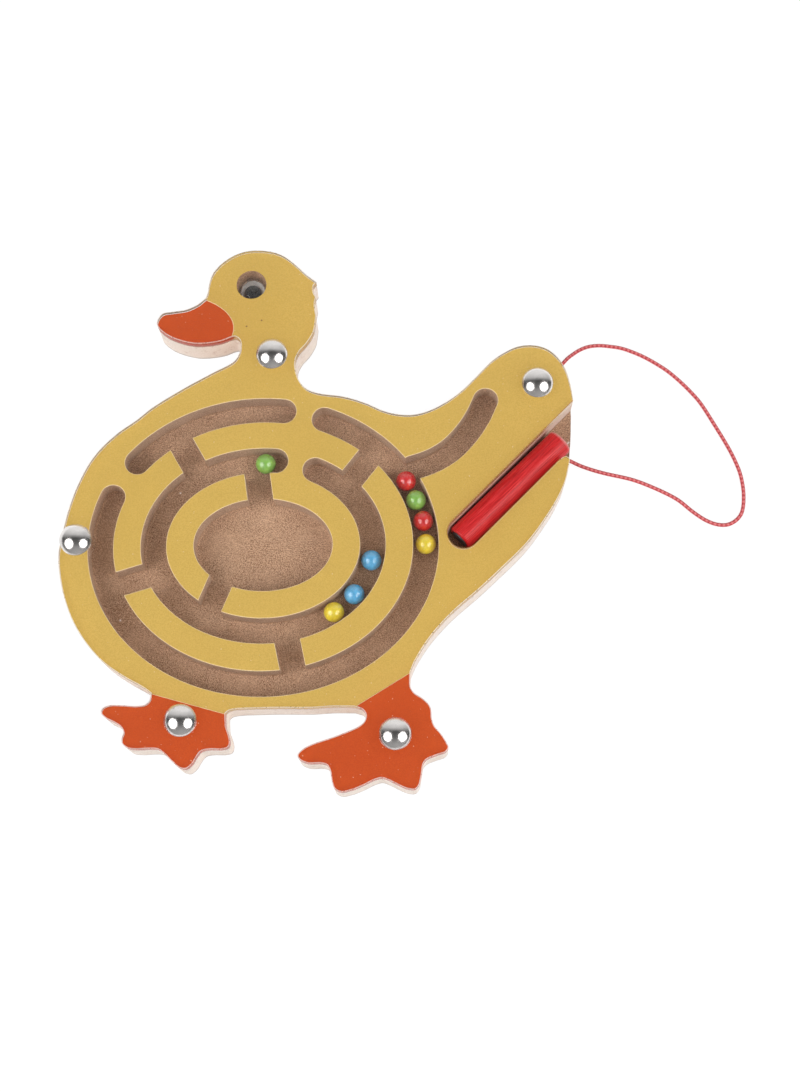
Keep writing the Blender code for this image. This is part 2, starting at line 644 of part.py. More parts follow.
def cord_cutters():
    """The tail's cord hole, and the pocket and bore that lead the cord to the pen."""
    start = Vector(CORD_ROUTE[0])
    heading = (Vector(CORD_ROUTE[1]) - start).normalized()
    turn = heading.to_track_quat("Z", "Y").to_euler()
    mesh = cylinder_mesh("cut_tail_hole", CORD_HOLE_DIAMETER, -GAP, TAIL_HOLE_LENGTH, CAP_STEPS * 2)
    tail_hole = add_cutter("cut_tail_hole", mesh, start)
    tail_hole.rotation_euler = turn

    outward = along(TETHER_ANGLE)
    low = TETHER_BORE_HEIGHT - CORD_HOLE_DIAMETER / 2
    path = [TETHER_HOLE + outward * TETHER_POCKET_LENGTH, TETHER_HOLE]
    loop = lane_loop(path, TETHER_POCKET_WIDTH / 2)
    mesh = prism_mesh("cut_tether_pocket", loop, low, FLOOR_Z + OVERRUN)
    pocket = add_cutter("cut_tether_pocket", mesh)

    mesh = cylinder_mesh("cut_tether_bore", CORD_HOLE_DIAMETER, 0, TETHER_BORE_LENGTH, CAP_STEPS * 2)
    bore = add_cutter("cut_tether_bore", mesh, (*path[0], TETHER_BORE_HEIGHT))
    bore.rotation_euler = Vector((*outward, 0)).to_track_quat("Z", "Y").to_euler()
    return [tail_hole, pocket, bore]


def add_board(cutters):
    """The routed fibreboard panel."""
    material = new_material("fibreboard", FIBREBOARD, 0.85)
    mesh = prism_mesh("maze_board", OUTLINE, 0, BOARD_THICKNESS)
    board = add_object("maze_board", mesh, material)
    cut(board, cutters)


def passage_angle(name, ring):
    """Ellipse angle at which a passage crosses the land inside a ring channel."""
    inner, outer = PASSAGES_PX[name]
    return ring_angle(ring, middle_pixel(inner, outer))


def middle_pixel(first, second):
    """Half way between two pixels."""
    return ((first[0] + second[0]) / 2, (first[1] + second[1]) / 2)


def sector_loop(inner, outer, first, last):
    """Closed loop of the land between two ovals and two angles, counter-clockwise from the first."""
    sweep = (last - first) % math.tau
    steps = math.ceil(sweep / ARC_STEP)
    angles = [first + sweep * step / steps for step in range(steps + 1)]
    return [ring_point(outer, a) for a in angles] + [ring_point(inner, a) for a in reversed(angles)]


def island_loops():
    """Rough shapes round the lands that the channels cut off from the rest of the yellow face."""
    left, bottom, right = (passage_angle(name, INNER_RING) for name in ("left", "bottom", "upper_right"))
    top, corner = (passage_angle(name, INNER_RING) for name in ("chamber_top", "chamber_corner"))
    core = (CHAMBER[0] - OVERRUN, CHAMBER[1] - OVERRUN)
    return {
        "ring_face_print_left": sector_loop(INNER_RING, OUTER_RING, left, bottom),
        "ring_face_print_right": sector_loop(INNER_RING, OUTER_RING, bottom, right),
        "core_face_print": sector_loop(core, INNER_RING, top, corner),
    }


def add_faces(maze, slot, eye, sleeves):
    """The printed faces of the body, its three islands in the maze, the beak and the feet."""
    yellow = new_material("print_yellow", PRINT_YELLOW, 0.5)
    orange = new_material("print_orange", PRINT_ORANGE, 0.5)
    islands = island_loops()
    low, high = FACE_Z - OVERRUN, FACE_TOP_Z + OVERRUN
    lands = [
        add_cutter("cut_" + name, prism_mesh("cut_" + name, loop, low, high))
        for name, loop in islands.items()
    ]
    holes = [sleeves[name] for name in ("head", "tail", "left")]
    faces = {
        "body_face_print": (body_face_loop(), yellow, [*maze, *lands, *slot, eye, *holes]),
        **{name: (loop, yellow, maze) for name, loop in islands.items()},
        "beak_face_print": (joined([STRETCHES["beak"], BEAK_SEAM]), orange, []),
        "left_foot_face_print": (STRETCHES["left_foot"], orange, [sleeves["left_foot"]]),
        "right_foot_face_print": (STRETCHES["right_foot"], orange, [sleeves["right_foot"]]),
    }
    for name, (loop, material, cutters) in faces.items():
        face = add_object(name, prism_mesh(name, loop, FACE_Z, FACE_TOP_Z), material)
        cut(face, cutters)


def body_face_loop():
    """The outline with the feet cut off straight and the beak cut off along its seam."""
    loop = []
    for name, stretch in STRETCHES.items():
        if name not in PRINTED_ORANGE:
            loop += [point for point in stretch if point not in loop]
    seam = list(reversed(BEAK_SEAM))
    return loop + [point for point in seam if point not in loop]


def add_cover(cutters):
    """The clear sheet over the whole face."""
    material = new_material("clear_acrylic", CLEAR, 0.05, alpha=CLEAR_ALPHA)
    cover = add_object("clear_cover", prism_mesh("clear_cover", OUTLINE, COVER_Z, COVER_TOP_Z), material)
    cut(cover, cutters)


def dome_nut_mesh():
    """Low chrome dome on a threaded sleeve, with its seat at the origin."""
    radius = DOME_DIAMETER / 2
    crown_radius = (radius ** 2 + DOME_CROWN_HEIGHT ** 2) / (2 * DOME_CROWN_HEIGHT)
    half_sweep = math.asin(radius / crown_radius)
    top = DOME_RIM_HEIGHT + DOME_CROWN_HEIGHT
    foot = SLEEVE_FOOT_HEIGHT - COVER_TOP_Z - GAP
    thread = THREAD_DIAMETER / 2
    profile = [
        (0, foot + THREAD_DEPTH), (thread, foot + THREAD_DEPTH), (thread, foot),
        (SLEEVE_DIAMETER / 2, foot), (SLEEVE_DIAMETER / 2, 0), (radius - DOME_EDGE_RADIUS, 0),
        (radius, DOME_EDGE_RADIUS), (radius, DOME_RIM_HEIGHT),
    ]
    for step in range(1, CROWN_STEPS):
        sweep = half_sweep * (1 - step / CROWN_STEPS)
        height = top - crown_radius * (1 - math.cos(sweep))
        profile.append((crown_radius * math.sin(sweep), height))
    profile.append((0, top))
    return turned_mesh("dome_nut", profile, FINE_SEGMENTS)


def back_screw_mesh():
    """Pan head and shank, with the head's underside at the origin and the shank up."""
    head = SCREW_HEAD_DIAMETER / 2
    shank = THREAD_DIAMETER / 2 - GAP
    edge = SCREW_EDGE_RADIUS
    reach = SLEEVE_FOOT_HEIGHT - SCREW_HEAD_SETBACK - SCREW_HEAD_HEIGHT + THREAD_REACH
    profile = [
        (0, -SCREW_HEAD_HEIGHT), (head - edge, -SCREW_HEAD_HEIGHT), (head, edge - SCREW_HEAD_HEIGHT),
        (head, 0), (shank, 0), (shank, reach - edge), (shank - edge, reach), (0, reach),
    ]
    return turned_mesh("back_screw", profile, HOLE_SEGMENTS)


def recess_mesh():
    """Cross recess of a screw head, about its mouth."""
    arm = RECESS_ARM_LENGTH
    half = RECESS_ARM_WIDTH / 2
    quarter = [Vector((arm, -half)), Vector((arm, half)), Vector((half, half))]
    loop = [Matrix.Rotation(math.pi / 2 * turn, 2) @ point for turn in range(4) for point in quarter]
    return prism_mesh("cut_recess", loop, -OVERRUN, RECESS_DEPTH)


def add_fasteners():
    """Five dome nuts on the cover and five screws from the back."""
    chrome = new_material("chrome", CHROME, 0.06, metallic=1.0)
    steel = new_material("steel", STEEL, 0.35, metallic=1.0)
    nut, screw, recess = dome_nut_mesh(), back_screw_mesh(), recess_mesh()
    for name, (x, y) in FASTENERS.items():
        add_object("dome_nut_" + name, nut, chrome, (x, y, COVER_TOP_Z + GAP))
        seat = SCREW_HEAD_SETBACK + SCREW_HEAD_HEIGHT
        fastener = add_object("back_screw_" + name, screw, steel, (x, y, seat))
        cut(fastener, [add_cutter("cut_recess_" + name, recess, (x, y, SCREW_HEAD_SETBACK))])


def lens_mesh():
    """Clear cap, open below, with its lower edge at the origin."""
    outer = EYE_DIAMETER / 2
    inner = outer - EYE_LENS_WALL
    crown = EYE_LENS_HEIGHT - EYE_RIM_HEIGHT
    angles = [math.pi / 2 * step / CROWN_STEPS for step in range(CROWN_STEPS)]
    arch = [(math.cos(a), math.sin(a)) for a in angles]
    inside = [(inner * x, EYE_RIM_HEIGHT + (crown - EYE_LENS_WALL) * y) for x, y in reversed(arch)]
    outside = [(outer * x, EYE_RIM_HEIGHT + crown * y) for x, y in arch]
    profile = [(0, EYE_LENS_HEIGHT - EYE_LENS_WALL), *inside, (inner, 0), (outer, 0), *outside]
    profile.append((0, EYE_LENS_HEIGHT))
    return turned_mesh("eye_lens", profile, HOLE_SEGMENTS)


def add_eye():
    """Googly eye: a pale back, a loose black pupil and a clear cap."""
    grey = new_material("eye_white", EYE_GREY, 0.5)
    black = new_material("pupil_black", BLACK, 0.4)
    clear = new_material("eye_clear", CLEAR, 0.05, alpha=CLEAR_ALPHA)
    back = cylinder_mesh("eye_back", EYE_DIAMETER, 0, EYE_BACK_THICKNESS)
    add_object("eye_back", back, grey, (*EYE_CENTRE, EYE_BACK_Z))
    pupil = cylinder_mesh("eye_pupil", PUPIL_DIAMETER, 0, PUPIL_THICKNESS)
    add_object("eye_pupil", pupil, black, (EYE_CENTRE.x, EYE_CENTRE.y - PUPIL_DROP, EYE_TOP_Z))
    add_object("eye_lens", lens_mesh(), clear, (*EYE_CENTRE, EYE_TOP_Z))


def ball_mesh():
    """Steel ball about the origin."""
    work = bmesh.new()
    bmesh.ops.create_uvsphere(
        work, u_segments=BALL_SEGMENTS, v_segments=BALL_RINGS, radius=BALL_DIAMETER / 2
    )
    return mesh_from(work, "ball")


def ball_pivot(ring_name, angle):
    """Centre that a ball's channel bends about, one for the whole row in the outer ring."""
    if ring_name == "outer":
        return bend_centre(OUTER_RING, 0)
    return bend_centre(INNER_RING, angle)


def add_balls():
    """The lacquered balls, each on an empty at the centre that it rolls about."""
    rings = {"outer": OUTER_RING, "inner": INNER_RING}
    materials = {
        colour: new_material("lacquer_" + colour, value, 0.15) for colour, value in BALL_COLOURS.items()
    }
    free_half = (CHANNEL_WIDTH - BALL_DIAMETER) / 2 - GAP / 2
    for name, (colour, ring_name, pixel, drift_share) in BALLS.items():
        ring = rings[ring_name]
        angle = ring_angle(ring, pixel, BALL_Z)
        centre = ring_point(ring, angle, free_half * drift_share)
        pivot = bpy.data.objects.new(name + "_pivot", None)
        bpy.context.scene.collection.objects.link(pivot)
        pivot.location = (*ball_pivot(ring_name, angle), BALL_Z)
        offset = Vector((*centre, BALL_Z)) - pivot.location
        add_object(name, ball_mesh(), materials[colour], offset, pivot)


def add_pen():
    """The turned wooden pen with its magnet, lying in the slot, and the hole for its cord."""
    radius = PEN_DIAMETER / 2
    half = PEN_LENGTH / 2
    edge = PEN_EDGE_RADIUS
    corner = [(radius - inset, half - rise) for inset, rise in reversed(corner_levels(edge))]
    socket = MAGNET_DIAMETER / 2 + GAP
    socket_floor = MAGNET_LENGTH - MAGNET_PROUD + GAP - half
    profile = [
        (0, socket_floor), (socket, socket_floor), (socket, -half),
        *[(x, -y) for x, y in reversed(corner)], *corner, (0, half),
    ]
    wood = new_material("red_wood", PEN_RED, 0.4)
    pen = add_object("pen_body", turned_mesh("pen_body", profile, FINE_SEGMENTS), wood)
    pen.location = (*PEN_MIDDLE, PEN_Z)
    pen.rotation_euler = (0, math.pi / 2, PEN_ANGLE)

    hole = CORD_HOLE_DIAMETER + CORD_HOLE_CLEARANCE
    low = FLOOR_Z + GAP / 2
    mesh = cylinder_mesh("cut_tether_hole", hole, low, PEN_Z - radius + TETHER_HOLE_DEPTH, CAP_STEPS * 2)
    cut(pen, [add_cutter("cut_tether_hole", mesh, (*TETHER_HOLE, 0))])

    magnet = MAGNET_DIAMETER / 2
    bevel = MAGNET_PROUD / 2
    profile = [
        (0, -half - MAGNET_PROUD), (magnet - bevel, -half - MAGNET_PROUD),
        (magnet, -half - MAGNET_PROUD + bevel), (magnet, -half - MAGNET_PROUD + MAGNET_LENGTH),
        (0, -half - MAGNET_PROUD + MAGNET_LENGTH),
    ]
    dark = new_material("magnet", DARK_METAL, 0.4, metallic=1.0)
    add_object("pen_magnet", turned_mesh("pen_magnet", profile, HOLE_SEGMENTS), dark, parent=pen)


def add_cord():
    """The braided cord, as one round tube."""
    path = thin_path(smooth_path([Vector(point) for point in CORD_ROUTE]), CORD_STEP)
    curve = bpy.data.curves.new("tether_cord", "CURVE")
    curve.dimensions = "3D"
    curve.bevel_depth = CORD_DIAMETER / 2
    curve.bevel_resolution = 2
    curve.use_fill_caps = True
    spline = curve.splines.new("POLY")
    spline.points.add(len(path) - 1)
    for spline_point, point in zip(spline.points, path):
        spline_point.co = (*point, 1.0)
    curve.materials.append(new_material("red_braid", CORD_RED, 0.8))
    cord = bpy.data.objects.new("tether_cord", curve)
    bpy.context.scene.collection.objects.link(cord)


def main():
    for leftover in list(bpy.data.objects):
        bpy.data.objects.remove(leftover, do_unlink=True)
    maze, slot, eye, sleeves = maze_cutters(), slot_cutters(), eye_cutter(), sleeve_cutters()
    add_board([*maze, *slot, eye, *counterbore_cutters(), *cord_cutters()])
    add_faces(maze, slot, eye, sleeves)
    add_cover([*slot, *sleeves.values()])
    add_fasteners()
    add_eye()
    add_balls()
    add_pen()
    add_cord()


main()
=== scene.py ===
"""Dresses the duck-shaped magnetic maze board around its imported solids.

Metres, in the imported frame: +Z up, the back on the floor, the beak towards -X and the feet towards -Y.
"""

import math

import bmesh
import bpy
from mathutils import Matrix, Vector


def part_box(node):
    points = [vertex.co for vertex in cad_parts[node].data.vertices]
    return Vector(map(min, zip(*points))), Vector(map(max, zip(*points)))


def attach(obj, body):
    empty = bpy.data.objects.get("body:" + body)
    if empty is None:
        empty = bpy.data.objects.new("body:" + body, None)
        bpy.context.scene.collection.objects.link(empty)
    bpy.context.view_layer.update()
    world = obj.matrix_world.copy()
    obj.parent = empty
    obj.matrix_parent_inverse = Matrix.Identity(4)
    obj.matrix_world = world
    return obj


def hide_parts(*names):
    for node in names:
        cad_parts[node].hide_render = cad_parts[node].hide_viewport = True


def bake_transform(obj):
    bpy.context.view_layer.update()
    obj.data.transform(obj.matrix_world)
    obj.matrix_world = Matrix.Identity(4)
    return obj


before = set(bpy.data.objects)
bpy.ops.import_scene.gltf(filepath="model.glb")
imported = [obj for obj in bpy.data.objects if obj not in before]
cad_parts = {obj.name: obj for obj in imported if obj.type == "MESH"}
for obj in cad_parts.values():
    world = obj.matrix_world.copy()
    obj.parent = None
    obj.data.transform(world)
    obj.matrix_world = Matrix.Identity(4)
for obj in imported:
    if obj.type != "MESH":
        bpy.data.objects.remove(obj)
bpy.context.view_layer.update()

# Sizes and places that the solids have too
BOARD_WIDTH = 0.150
FACE_TOP_Z = 0.0105
COVER_TOP_Z = 0.0133
FLOOR_Z = 0.003
OVERRUN = 0.002
GAP = 0.0003
CHANNEL_WIDTH = 0.0074
FLOOR_RADIUS = 0.0008
CHAMBER_SHARES = (0.13467, 0.09200)
INNER_RING_SHARES = (0.21267, 0.17000)
OUTER_RING_SHARES = (0.31533, 0.27267)
BALL_DIAMETER = 0.006
PEN_DIAMETER = 0.008
PEN_LENGTH = 0.0424
PEN_EDGE_RADIUS = 0.0007
SLOT_WIDTH = 0.0094
SLOT_END_CLEARANCE = 0.0036
SLOT_RUN_OUT = 0.060
SLOT_MOUTH_REACH = 0.052
# Distances from the slot's mouth over which the painted shade beside the pen fades in
SLOT_MOUTH_RANGE = (0.011, 0.015)
SLOT_WALL = 0.00265
SLOT_ANGLE = math.radians(45.5)
PEN_TILT = math.radians(-0.9)
CORD_DIAMETER = 0.0012
CORD_HOLE_DIAMETER = 0.0018
TAIL_HOLE_LENGTH = 0.012
TETHER_INSET = 0.0029
TETHER_POCKET_LENGTH = 0.0024
TETHER_POCKET_WIDTH = 0.0024
TETHER_BORE_LENGTH = 0.012
TETHER_BORE_HEIGHT = 0.0017
TETHER_ANGLE = math.radians(-26.2)
EYE_HOLE_DIAMETER = 0.009
SLEEVE_HOLE_DIAMETER = 0.0046
SLEEVE_WALL = 0.00088
COUNTERBORE_DIAMETER = 0.0072
COUNTERBORE_TOP = 0.0020

# What the picture shows beyond the solids
PRIMER_Z = 0.01036
PRINT_INSET = 0.00013
OUTLINE_INSET = 0.00008
BEAK_INSET = 0.00016
SHOULDER = 0.00018
COVER_UNDERSIDE_Z = 0.01048
COVER_EDGE_RADIUS = 0.00028
EDGE_ROUNDING = 0.00012
ROUNDED_ANGLE = math.radians(40)

# Marks in the finishes: the two distances between which each fades, and their colours. A chip's
# and a flaw's are from its point, the painted contact shadow's from the floor, and the painted
# highlight on the pen's rim from the pen's side and end.
CHIP_REACH = (0.00016, 0.00036)
FLAW_REACH = (0.00016, 0.00034)
CONTACT_SHADE_REACH = (0.0003, 0.0012)
RIM_HIGHLIGHT_SIDE = (0.0009, 0.0003)
RIM_HIGHLIGHT_END = (0.0010, 0.0002)
CHIP_PALE = (0.92, 0.86, 0.80)
FLAW_DARK = (0.12, 0.05, 0.03)
ACRYLIC_IOR = 1.49

# Fineness
OUTLINE_STEP = 0.0022
TURN_STEP = math.radians(4.0)
ARC_STEP = math.radians(2.0)
SPAN_STEPS = 8
CAP_STEPS = 20
CORNER_STEPS = 4
BEVEL_SEGMENTS = 2
ROUND_SEGMENTS = 64
HOLE_SEGMENTS = 40
SHARP_ANGLE = math.radians(35.0)

# The most that an upright face's normal rises, and the sharpest corner that an inset follows
UPRIGHT = 0.1
SHARPEST_MITRE = 0.3

# The picture's view, in pixels: its centre, the point straight below the lens and the focal length.
VIEW_CENTRE_PX = (400.0, 546.0)
VIEW_NADIR_PX = (421.0, 993.0)
VIEW_FOCAL_PX = 1813.0

# Outline of the cover's top, clockwise, in stretches that meet at corners.
BEAK_PX = [
    (230.3, 337.3), (221.2, 340.8), (208.6, 343.0), (194.5, 343.4), (179.1, 340.1), (166.5, 334.5),
    (158.1, 326.8), (157.1, 321.2), (162.3, 313.5), (174.0, 311.2), (186.1, 309.3), (197.3, 304.4),
    (205.8, 297.8),
]
HEAD_PX = [
    (205.8, 297.8), (207.9, 291.7), (209.3, 283.3), (212.8, 273.5), (221.2, 263.7), (233.8, 255.3),
    (246.5, 251.0), (259.1, 250.1), (273.1, 251.7), (284.3, 256.0), (295.6, 264.4), (305.4, 273.5),
    (316.4, 281.6),
]
UPPER_FEATHER_PX = [(316.4, 281.6), (313.3, 286.0), (313.2, 291.5), (315.9, 297.0)]
LOWER_FEATHER_PX = [(315.9, 297.0), (314.7, 302.5), (315.0, 309.0), (316.2, 315.5)]
BACK_PX = [
    (316.2, 315.5), (315.2, 323.7), (313.4, 332.0), (306.8, 342.8), (299.8, 350.5), (295.6, 359.1),
    (295.6, 370.3), (299.8, 381.5), (306.8, 388.6), (318.0, 392.8), (344.2, 396.3), (365.9, 402.8),
    (383.2, 410.4), (398.4, 414.0), (413.6, 414.3), (428.8, 410.4), (446.1, 401.7), (461.3, 390.8),
    (478.2, 374.4), (491.9, 360.6), (505.7, 351.4), (518.0, 346.1), (533.3, 344.8), (547.0, 348.4),
    (557.8, 356.8), (565.4, 368.3), (570.0, 382.0), (573.0, 397.3), (573.8, 405.0),
]
MOUTH_PX = [(573.8, 405.0), (573.3, 430.0), (571.9, 448.5), (569.8, 462.3)]
BELLY_SIDE_PX = [
    (569.8, 462.3), (565.4, 481.5), (557.8, 498.4), (545.5, 518.3), (527.1, 542.8), (499.6, 570.0),
    (480.0, 588.2), (452.6, 612.0), (430.9, 635.9), (415.5, 660.0), (410.7, 671.3),
]
RIGHT_FOOT_PX = [
    (410.7, 671.3), (410.1, 679.5), (410.7, 687.2), (413.9, 692.3), (421.6, 697.4), (428.0, 703.1),
    (431.1, 708.9), (431.8, 717.8), (434.3, 725.5), (440.7, 733.1), (445.8, 740.8), (448.6, 747.1),
    (445.8, 751.6), (436.9, 754.8), (426.7, 759.3), (423.5, 763.7), (421.6, 775.2), (419.0, 785.4),
    (415.2, 789.0), (407.6, 788.6), (398.6, 784.8), (388.4, 779.7), (382.0, 777.8), (374.4, 779.7),
    (362.9, 785.4), (351.4, 789.9), (341.2, 791.8), (334.8, 788.6), (331.7, 780.3), (330.4, 771.4),
    (327.2, 765.0), (320.8, 763.1), (308.1, 763.1), (300.4, 759.9), (297.6, 755.4), (301.7, 749.7),
    (311.9, 744.0), (331.0, 737.6), (346.3, 731.8), (357.8, 726.7), (364.2, 721.6), (366.1, 715.3),
    (362.9, 709.5), (354.0, 706.3),
]
BELLY_UNDER_PX = [
    (354.0, 706.3), (331.0, 706.3), (311.9, 707.6), (280.0, 707.6), (250.0, 708.2), (235.6, 708.9),
    (228.5, 710.6), (225.4, 713.3),
]
LEFT_FOOT_PX = [
    (225.4, 713.3), (226.0, 726.7), (228.6, 734.4), (229.9, 742.0), (228.0, 747.1), (221.6, 749.1),
    (210.1, 749.1), (201.2, 751.0), (196.1, 757.3), (192.2, 763.7), (185.9, 768.6), (179.5, 767.6),
    (171.8, 761.2), (164.2, 753.5), (157.8, 749.1), (148.9, 748.4), (136.1, 749.1), (127.2, 747.8),
    (122.1, 743.3), (121.5, 738.2), (123.4, 731.8), (120.8, 726.7), (114.4, 722.3), (105.5, 717.8),
    (101.0, 712.7), (102.3, 708.2), (109.3, 705.1), (122.1, 705.1), (136.1, 705.9), (145.1, 704.4),
    (149.5, 700.0), (150.8, 692.9),
]
BREAST_PX = [
    (150.8, 692.9), (144.1, 687.9), (124.6, 677.0), (102.9, 661.9), (85.5, 642.4), (72.5, 620.7),
    (63.9, 596.8), (59.5, 575.1), (58.4, 553.5), (61.7, 536.1), (68.2, 510.1), (79.0, 481.9),
    (94.2, 455.9), (115.9, 434.2), (137.3, 419.2), (151.0, 408.2), (172.1, 394.9), (193.1, 382.9),
    (214.2, 371.7), (233.8, 361.2), (239.5, 352.8), (241.2, 345.0), (239.6, 339.3), (235.4, 336.3),
    (230.3, 337.3),
]

# Where the orange beak print meets the yellow one.
BEAK_SEAM_PX = [
    (205.8, 297.8), (217.0, 303.0), (226.8, 310.7), (232.4, 319.8), (233.1, 328.2), (230.3, 337.3),
]

# Rounding of the slot's lower lip, as the piece that is cut off, in the printed face.
LIP_TRIM_PX = [
    (556.5, 463.0), (560.2, 460.9), (563.0, 459.0), (566.0, 458.4), (568.9, 460.4), (570.4, 465.0),
    (571.5, 472.0), (584.0, 472.0), (584.0, 438.0), (560.0, 438.0), (546.0, 462.0),
]

# Places in the printed face.
MAZE_CENTRE_PX = (263.4, 545.3)
EYE_PX = (251.9, 286.0)
SLOT_END_PX = (463.6, 534.9)
LEFT_DOME_PX = (75.9, 540.3)
DOMES_PX = {
    "head": (272.0, 354.2),
    "tail": (537.6, 382.8),
    "left_foot": (180.3, 720.6),
    "right_foot": (395.4, 733.8),
}

# The round ends of the ring channels, each from its first end counter-clockwise to its last.
INNER_RING_ENDS_PX = ((276.3, 459.6), (318.2, 466.7))
OUTER_RING_ENDS_PX = ((115.9, 498.8), (325.8, 417.9))
SHORT_RING_ENDS_PX = ((284.6, 409.9), (138.7, 463.5))

# Middle of each passage between two channels, where it leaves the inner one and meets the outer one.
PASSAGES_PX = {
    "chamber_top": ((261.2, 503.0), (257.4, 474.3)),
    "chamber_corner": ((220.5, 582.8), (209.7, 607.1)),
    "upper_left": ((196.4, 470.0), (183.4, 447.2)),
    "left": ((147.4, 576.3), (120.3, 584.4)),
    "bottom": ((287.0, 639.4), (292.9, 667.9)),
    "upper_right": ((352.7, 478.4), (370.6, 456.2)),
}
PASSAGE_OVERLAP_SHARE = 0.32
TAIL_CHANNEL_PX = [
    (412.5, 468.5), (423.0, 465.3), (433.1, 461.3), (443.5, 455.6), (452.9, 448.7), (467.5, 433.1),
    (478.2, 416.8), (485.5, 401.2),
]

# Middle line of the cord from the tail's edge to the pen, in tenths of a millimetre.
CORD_ROUTE_TENTHS = [
    (683, 435, 30), (731, 488, 30), (745, 504, 26), (759, 518, 16), (781, 535, 9), (808, 547, 7),
    (842, 551, 7), (876, 548, 7), (910, 542, 7), (948, 528, 7), (981, 512, 7), (1014, 492, 7),
    (1048, 468, 7), (1081, 438, 7), (1113, 404, 7), (1141, 369, 7), (1181, 300, 7), (1223, 221, 7),
    (1242, 177, 7), (1254, 138, 7), (1260, 78, 7), (1252, 25, 7), (1235, 2, 7), (1209, -12, 7),
    (1180, -12, 7), (1147, 0, 7), (1109, 26, 7), (1067, 62, 7), (1034, 82, 7), (968, 113, 7),
    (927, 128, 7), (844, 148, 7), (803, 160, 9), (773, 170, 14), (747, 182, 17), (716, 197, 17),
    (705, 203, 20), (697, 207, 29), (694, 208, 41), (694, 208, 60),
]
CORD_ROUTE = [tuple(value / 10000 for value in point) for point in CORD_ROUTE_TENTHS]


def along(angle):
    """Unit vector of the plan at an angle from +X."""
    return Vector((math.cos(angle), math.sin(angle)))


def sight(pixel):
    """Where the line of sight through a pixel meets the plane that lies one unit below the lens."""
    centre = Vector((*VIEW_CENTRE_PX, 0))
    down = (Vector((*VIEW_NADIR_PX, VIEW_FOCAL_PX)) - centre).normalized()
    side = Vector((1, 0, 0))
    across = (side - side.dot(down) * down).normalized()
    away = across.cross(down)
    ray = Vector((*pixel, VIEW_FOCAL_PX)) - centre
    return Vector((ray.dot(across), ray.dot(away))) / ray.dot(down)


def smooth_path(points):
    """Points along a centripetal Catmull-Rom curve that passes through the given ones."""
    guides = [2 * points[0] - points[1], *points, 2 * points[-1] - points[-2]]
    path = []
    for before, start, end, after in zip(guides, guides[1:], guides[2:], guides[3:]):
        knot_1 = math.sqrt((start - before).length)
        knot_2 = knot_1 + math.sqrt((end - start).length)
        knot_3 = knot_2 + math.sqrt((after - end).length)
        for step in range(SPAN_STEPS):
            knot = knot_1 + (knot_2 - knot_1) * step / SPAN_STEPS
            first = before.lerp(start, knot / knot_1)
            second = start.lerp(end, (knot - knot_1) / (knot_2 - knot_1))
            third = end.lerp(after, (knot - knot_2) / (knot_3 - knot_2))
            near = first.lerp(second, knot / knot_2)
            far = second.lerp(third, (knot - knot_1) / (knot_3 - knot_1))
            path.append(near.lerp(far, (knot - knot_1) / (knot_2 - knot_1)))
    path.append(points[-1].copy())
    return path


def thin_path(path):
    """The path without the points that its bends don't need."""
    kept = [path[0]]
    heading = path[1] - path[0]
    for point, following in zip(path[1:], path[2:]):
        turned = (following - point).angle(heading, 0) >= TURN_STEP
        stretched = (following - kept[-1]).length > OUTLINE_STEP
        if turned or stretched:
            kept.append(point)
            heading = following - point
    kept.append(path[-1])
    return kept


def joined(stretches):
    """Stretches end to end as one closed loop, each corner once."""
    return [point for stretch in stretches for point in stretch[:-1]]


def middle(values):
    """Half way between the least and the greatest of some values."""
    return (min(values) + max(values)) / 2


OUTLINE_PX = {
    "beak": BEAK_PX,
    "head": HEAD_PX,
    "upper_feather": UPPER_FEATHER_PX,
    "lower_feather": LOWER_FEATHER_PX,
    "back": BACK_PX,
    "mouth": MOUTH_PX,
    "belly_side": BELLY_SIDE_PX,
    "right_foot": RIGHT_FOOT_PX,
    "belly_under": BELLY_UNDER_PX,
    "left_foot": LEFT_FOOT_PX,
    "breast": BREAST_PX,
}
PRINTED_ORANGE = ("beak", "right_foot", "left_foot")
SIGHTS = {
    name: smooth_path([sight(pixel) for pixel in pixels]) for name, pixels in OUTLINE_PX.items()
}
SIGHT_XS = [point.x for stretch in SIGHTS.values() for point in stretch]
SIGHT_YS = [point.y for stretch in SIGHTS.values() for point in stretch]
SIGHT_MIDDLE = Vector((middle(SIGHT_XS), middle(SIGHT_YS)))
LENS_ABOVE_COVER = BOARD_WIDTH / (max(SIGHT_XS) - min(SIGHT_XS))


def on_plan(point, height):
    """A sighted point in metres on the level at a height, measured from the outline's middle."""
    return point * (LENS_ABOVE_COVER + COVER_TOP_Z - height) - SIGHT_MIDDLE * LENS_ABOVE_COVER


def place(pixel, height):
    """Plan position in metres of what a pixel shows at a height."""
    return on_plan(sight(pixel), height)


def plan_stretch(sights):
    """One stretch of the outline in metres, with no more points than its bends need."""
    return thin_path([on_plan(point, COVER_TOP_Z) for point in sights])


STRETCHES = {name: plan_stretch(sights) for name, sights in SIGHTS.items()}
BEAK_SEAM = plan_stretch(smooth_path([sight(pixel) for pixel in BEAK_SEAM_PX]))
OUTLINE = joined(STRETCHES.values())
MAZE_CENTRE = place(MAZE_CENTRE_PX, FACE_TOP_Z)
EYE_CENTRE = place(EYE_PX, FACE_TOP_Z)
CHAMBER = tuple(BOARD_WIDTH * share for share in CHAMBER_SHARES)
INNER_RING = tuple(BOARD_WIDTH * share for share in INNER_RING_SHARES)
OUTER_RING = tuple(BOARD_WIDTH * share for share in OUTER_RING_SHARES)


def ring_angle(ring, pixel, height=FACE_TOP_Z):
    """Ellipse angle of a ring channel at the place that a pixel shows."""
    offset = place(pixel, height) - MAZE_CENTRE
    return math.atan2(offset.y / ring[1], offset.x / ring[0])


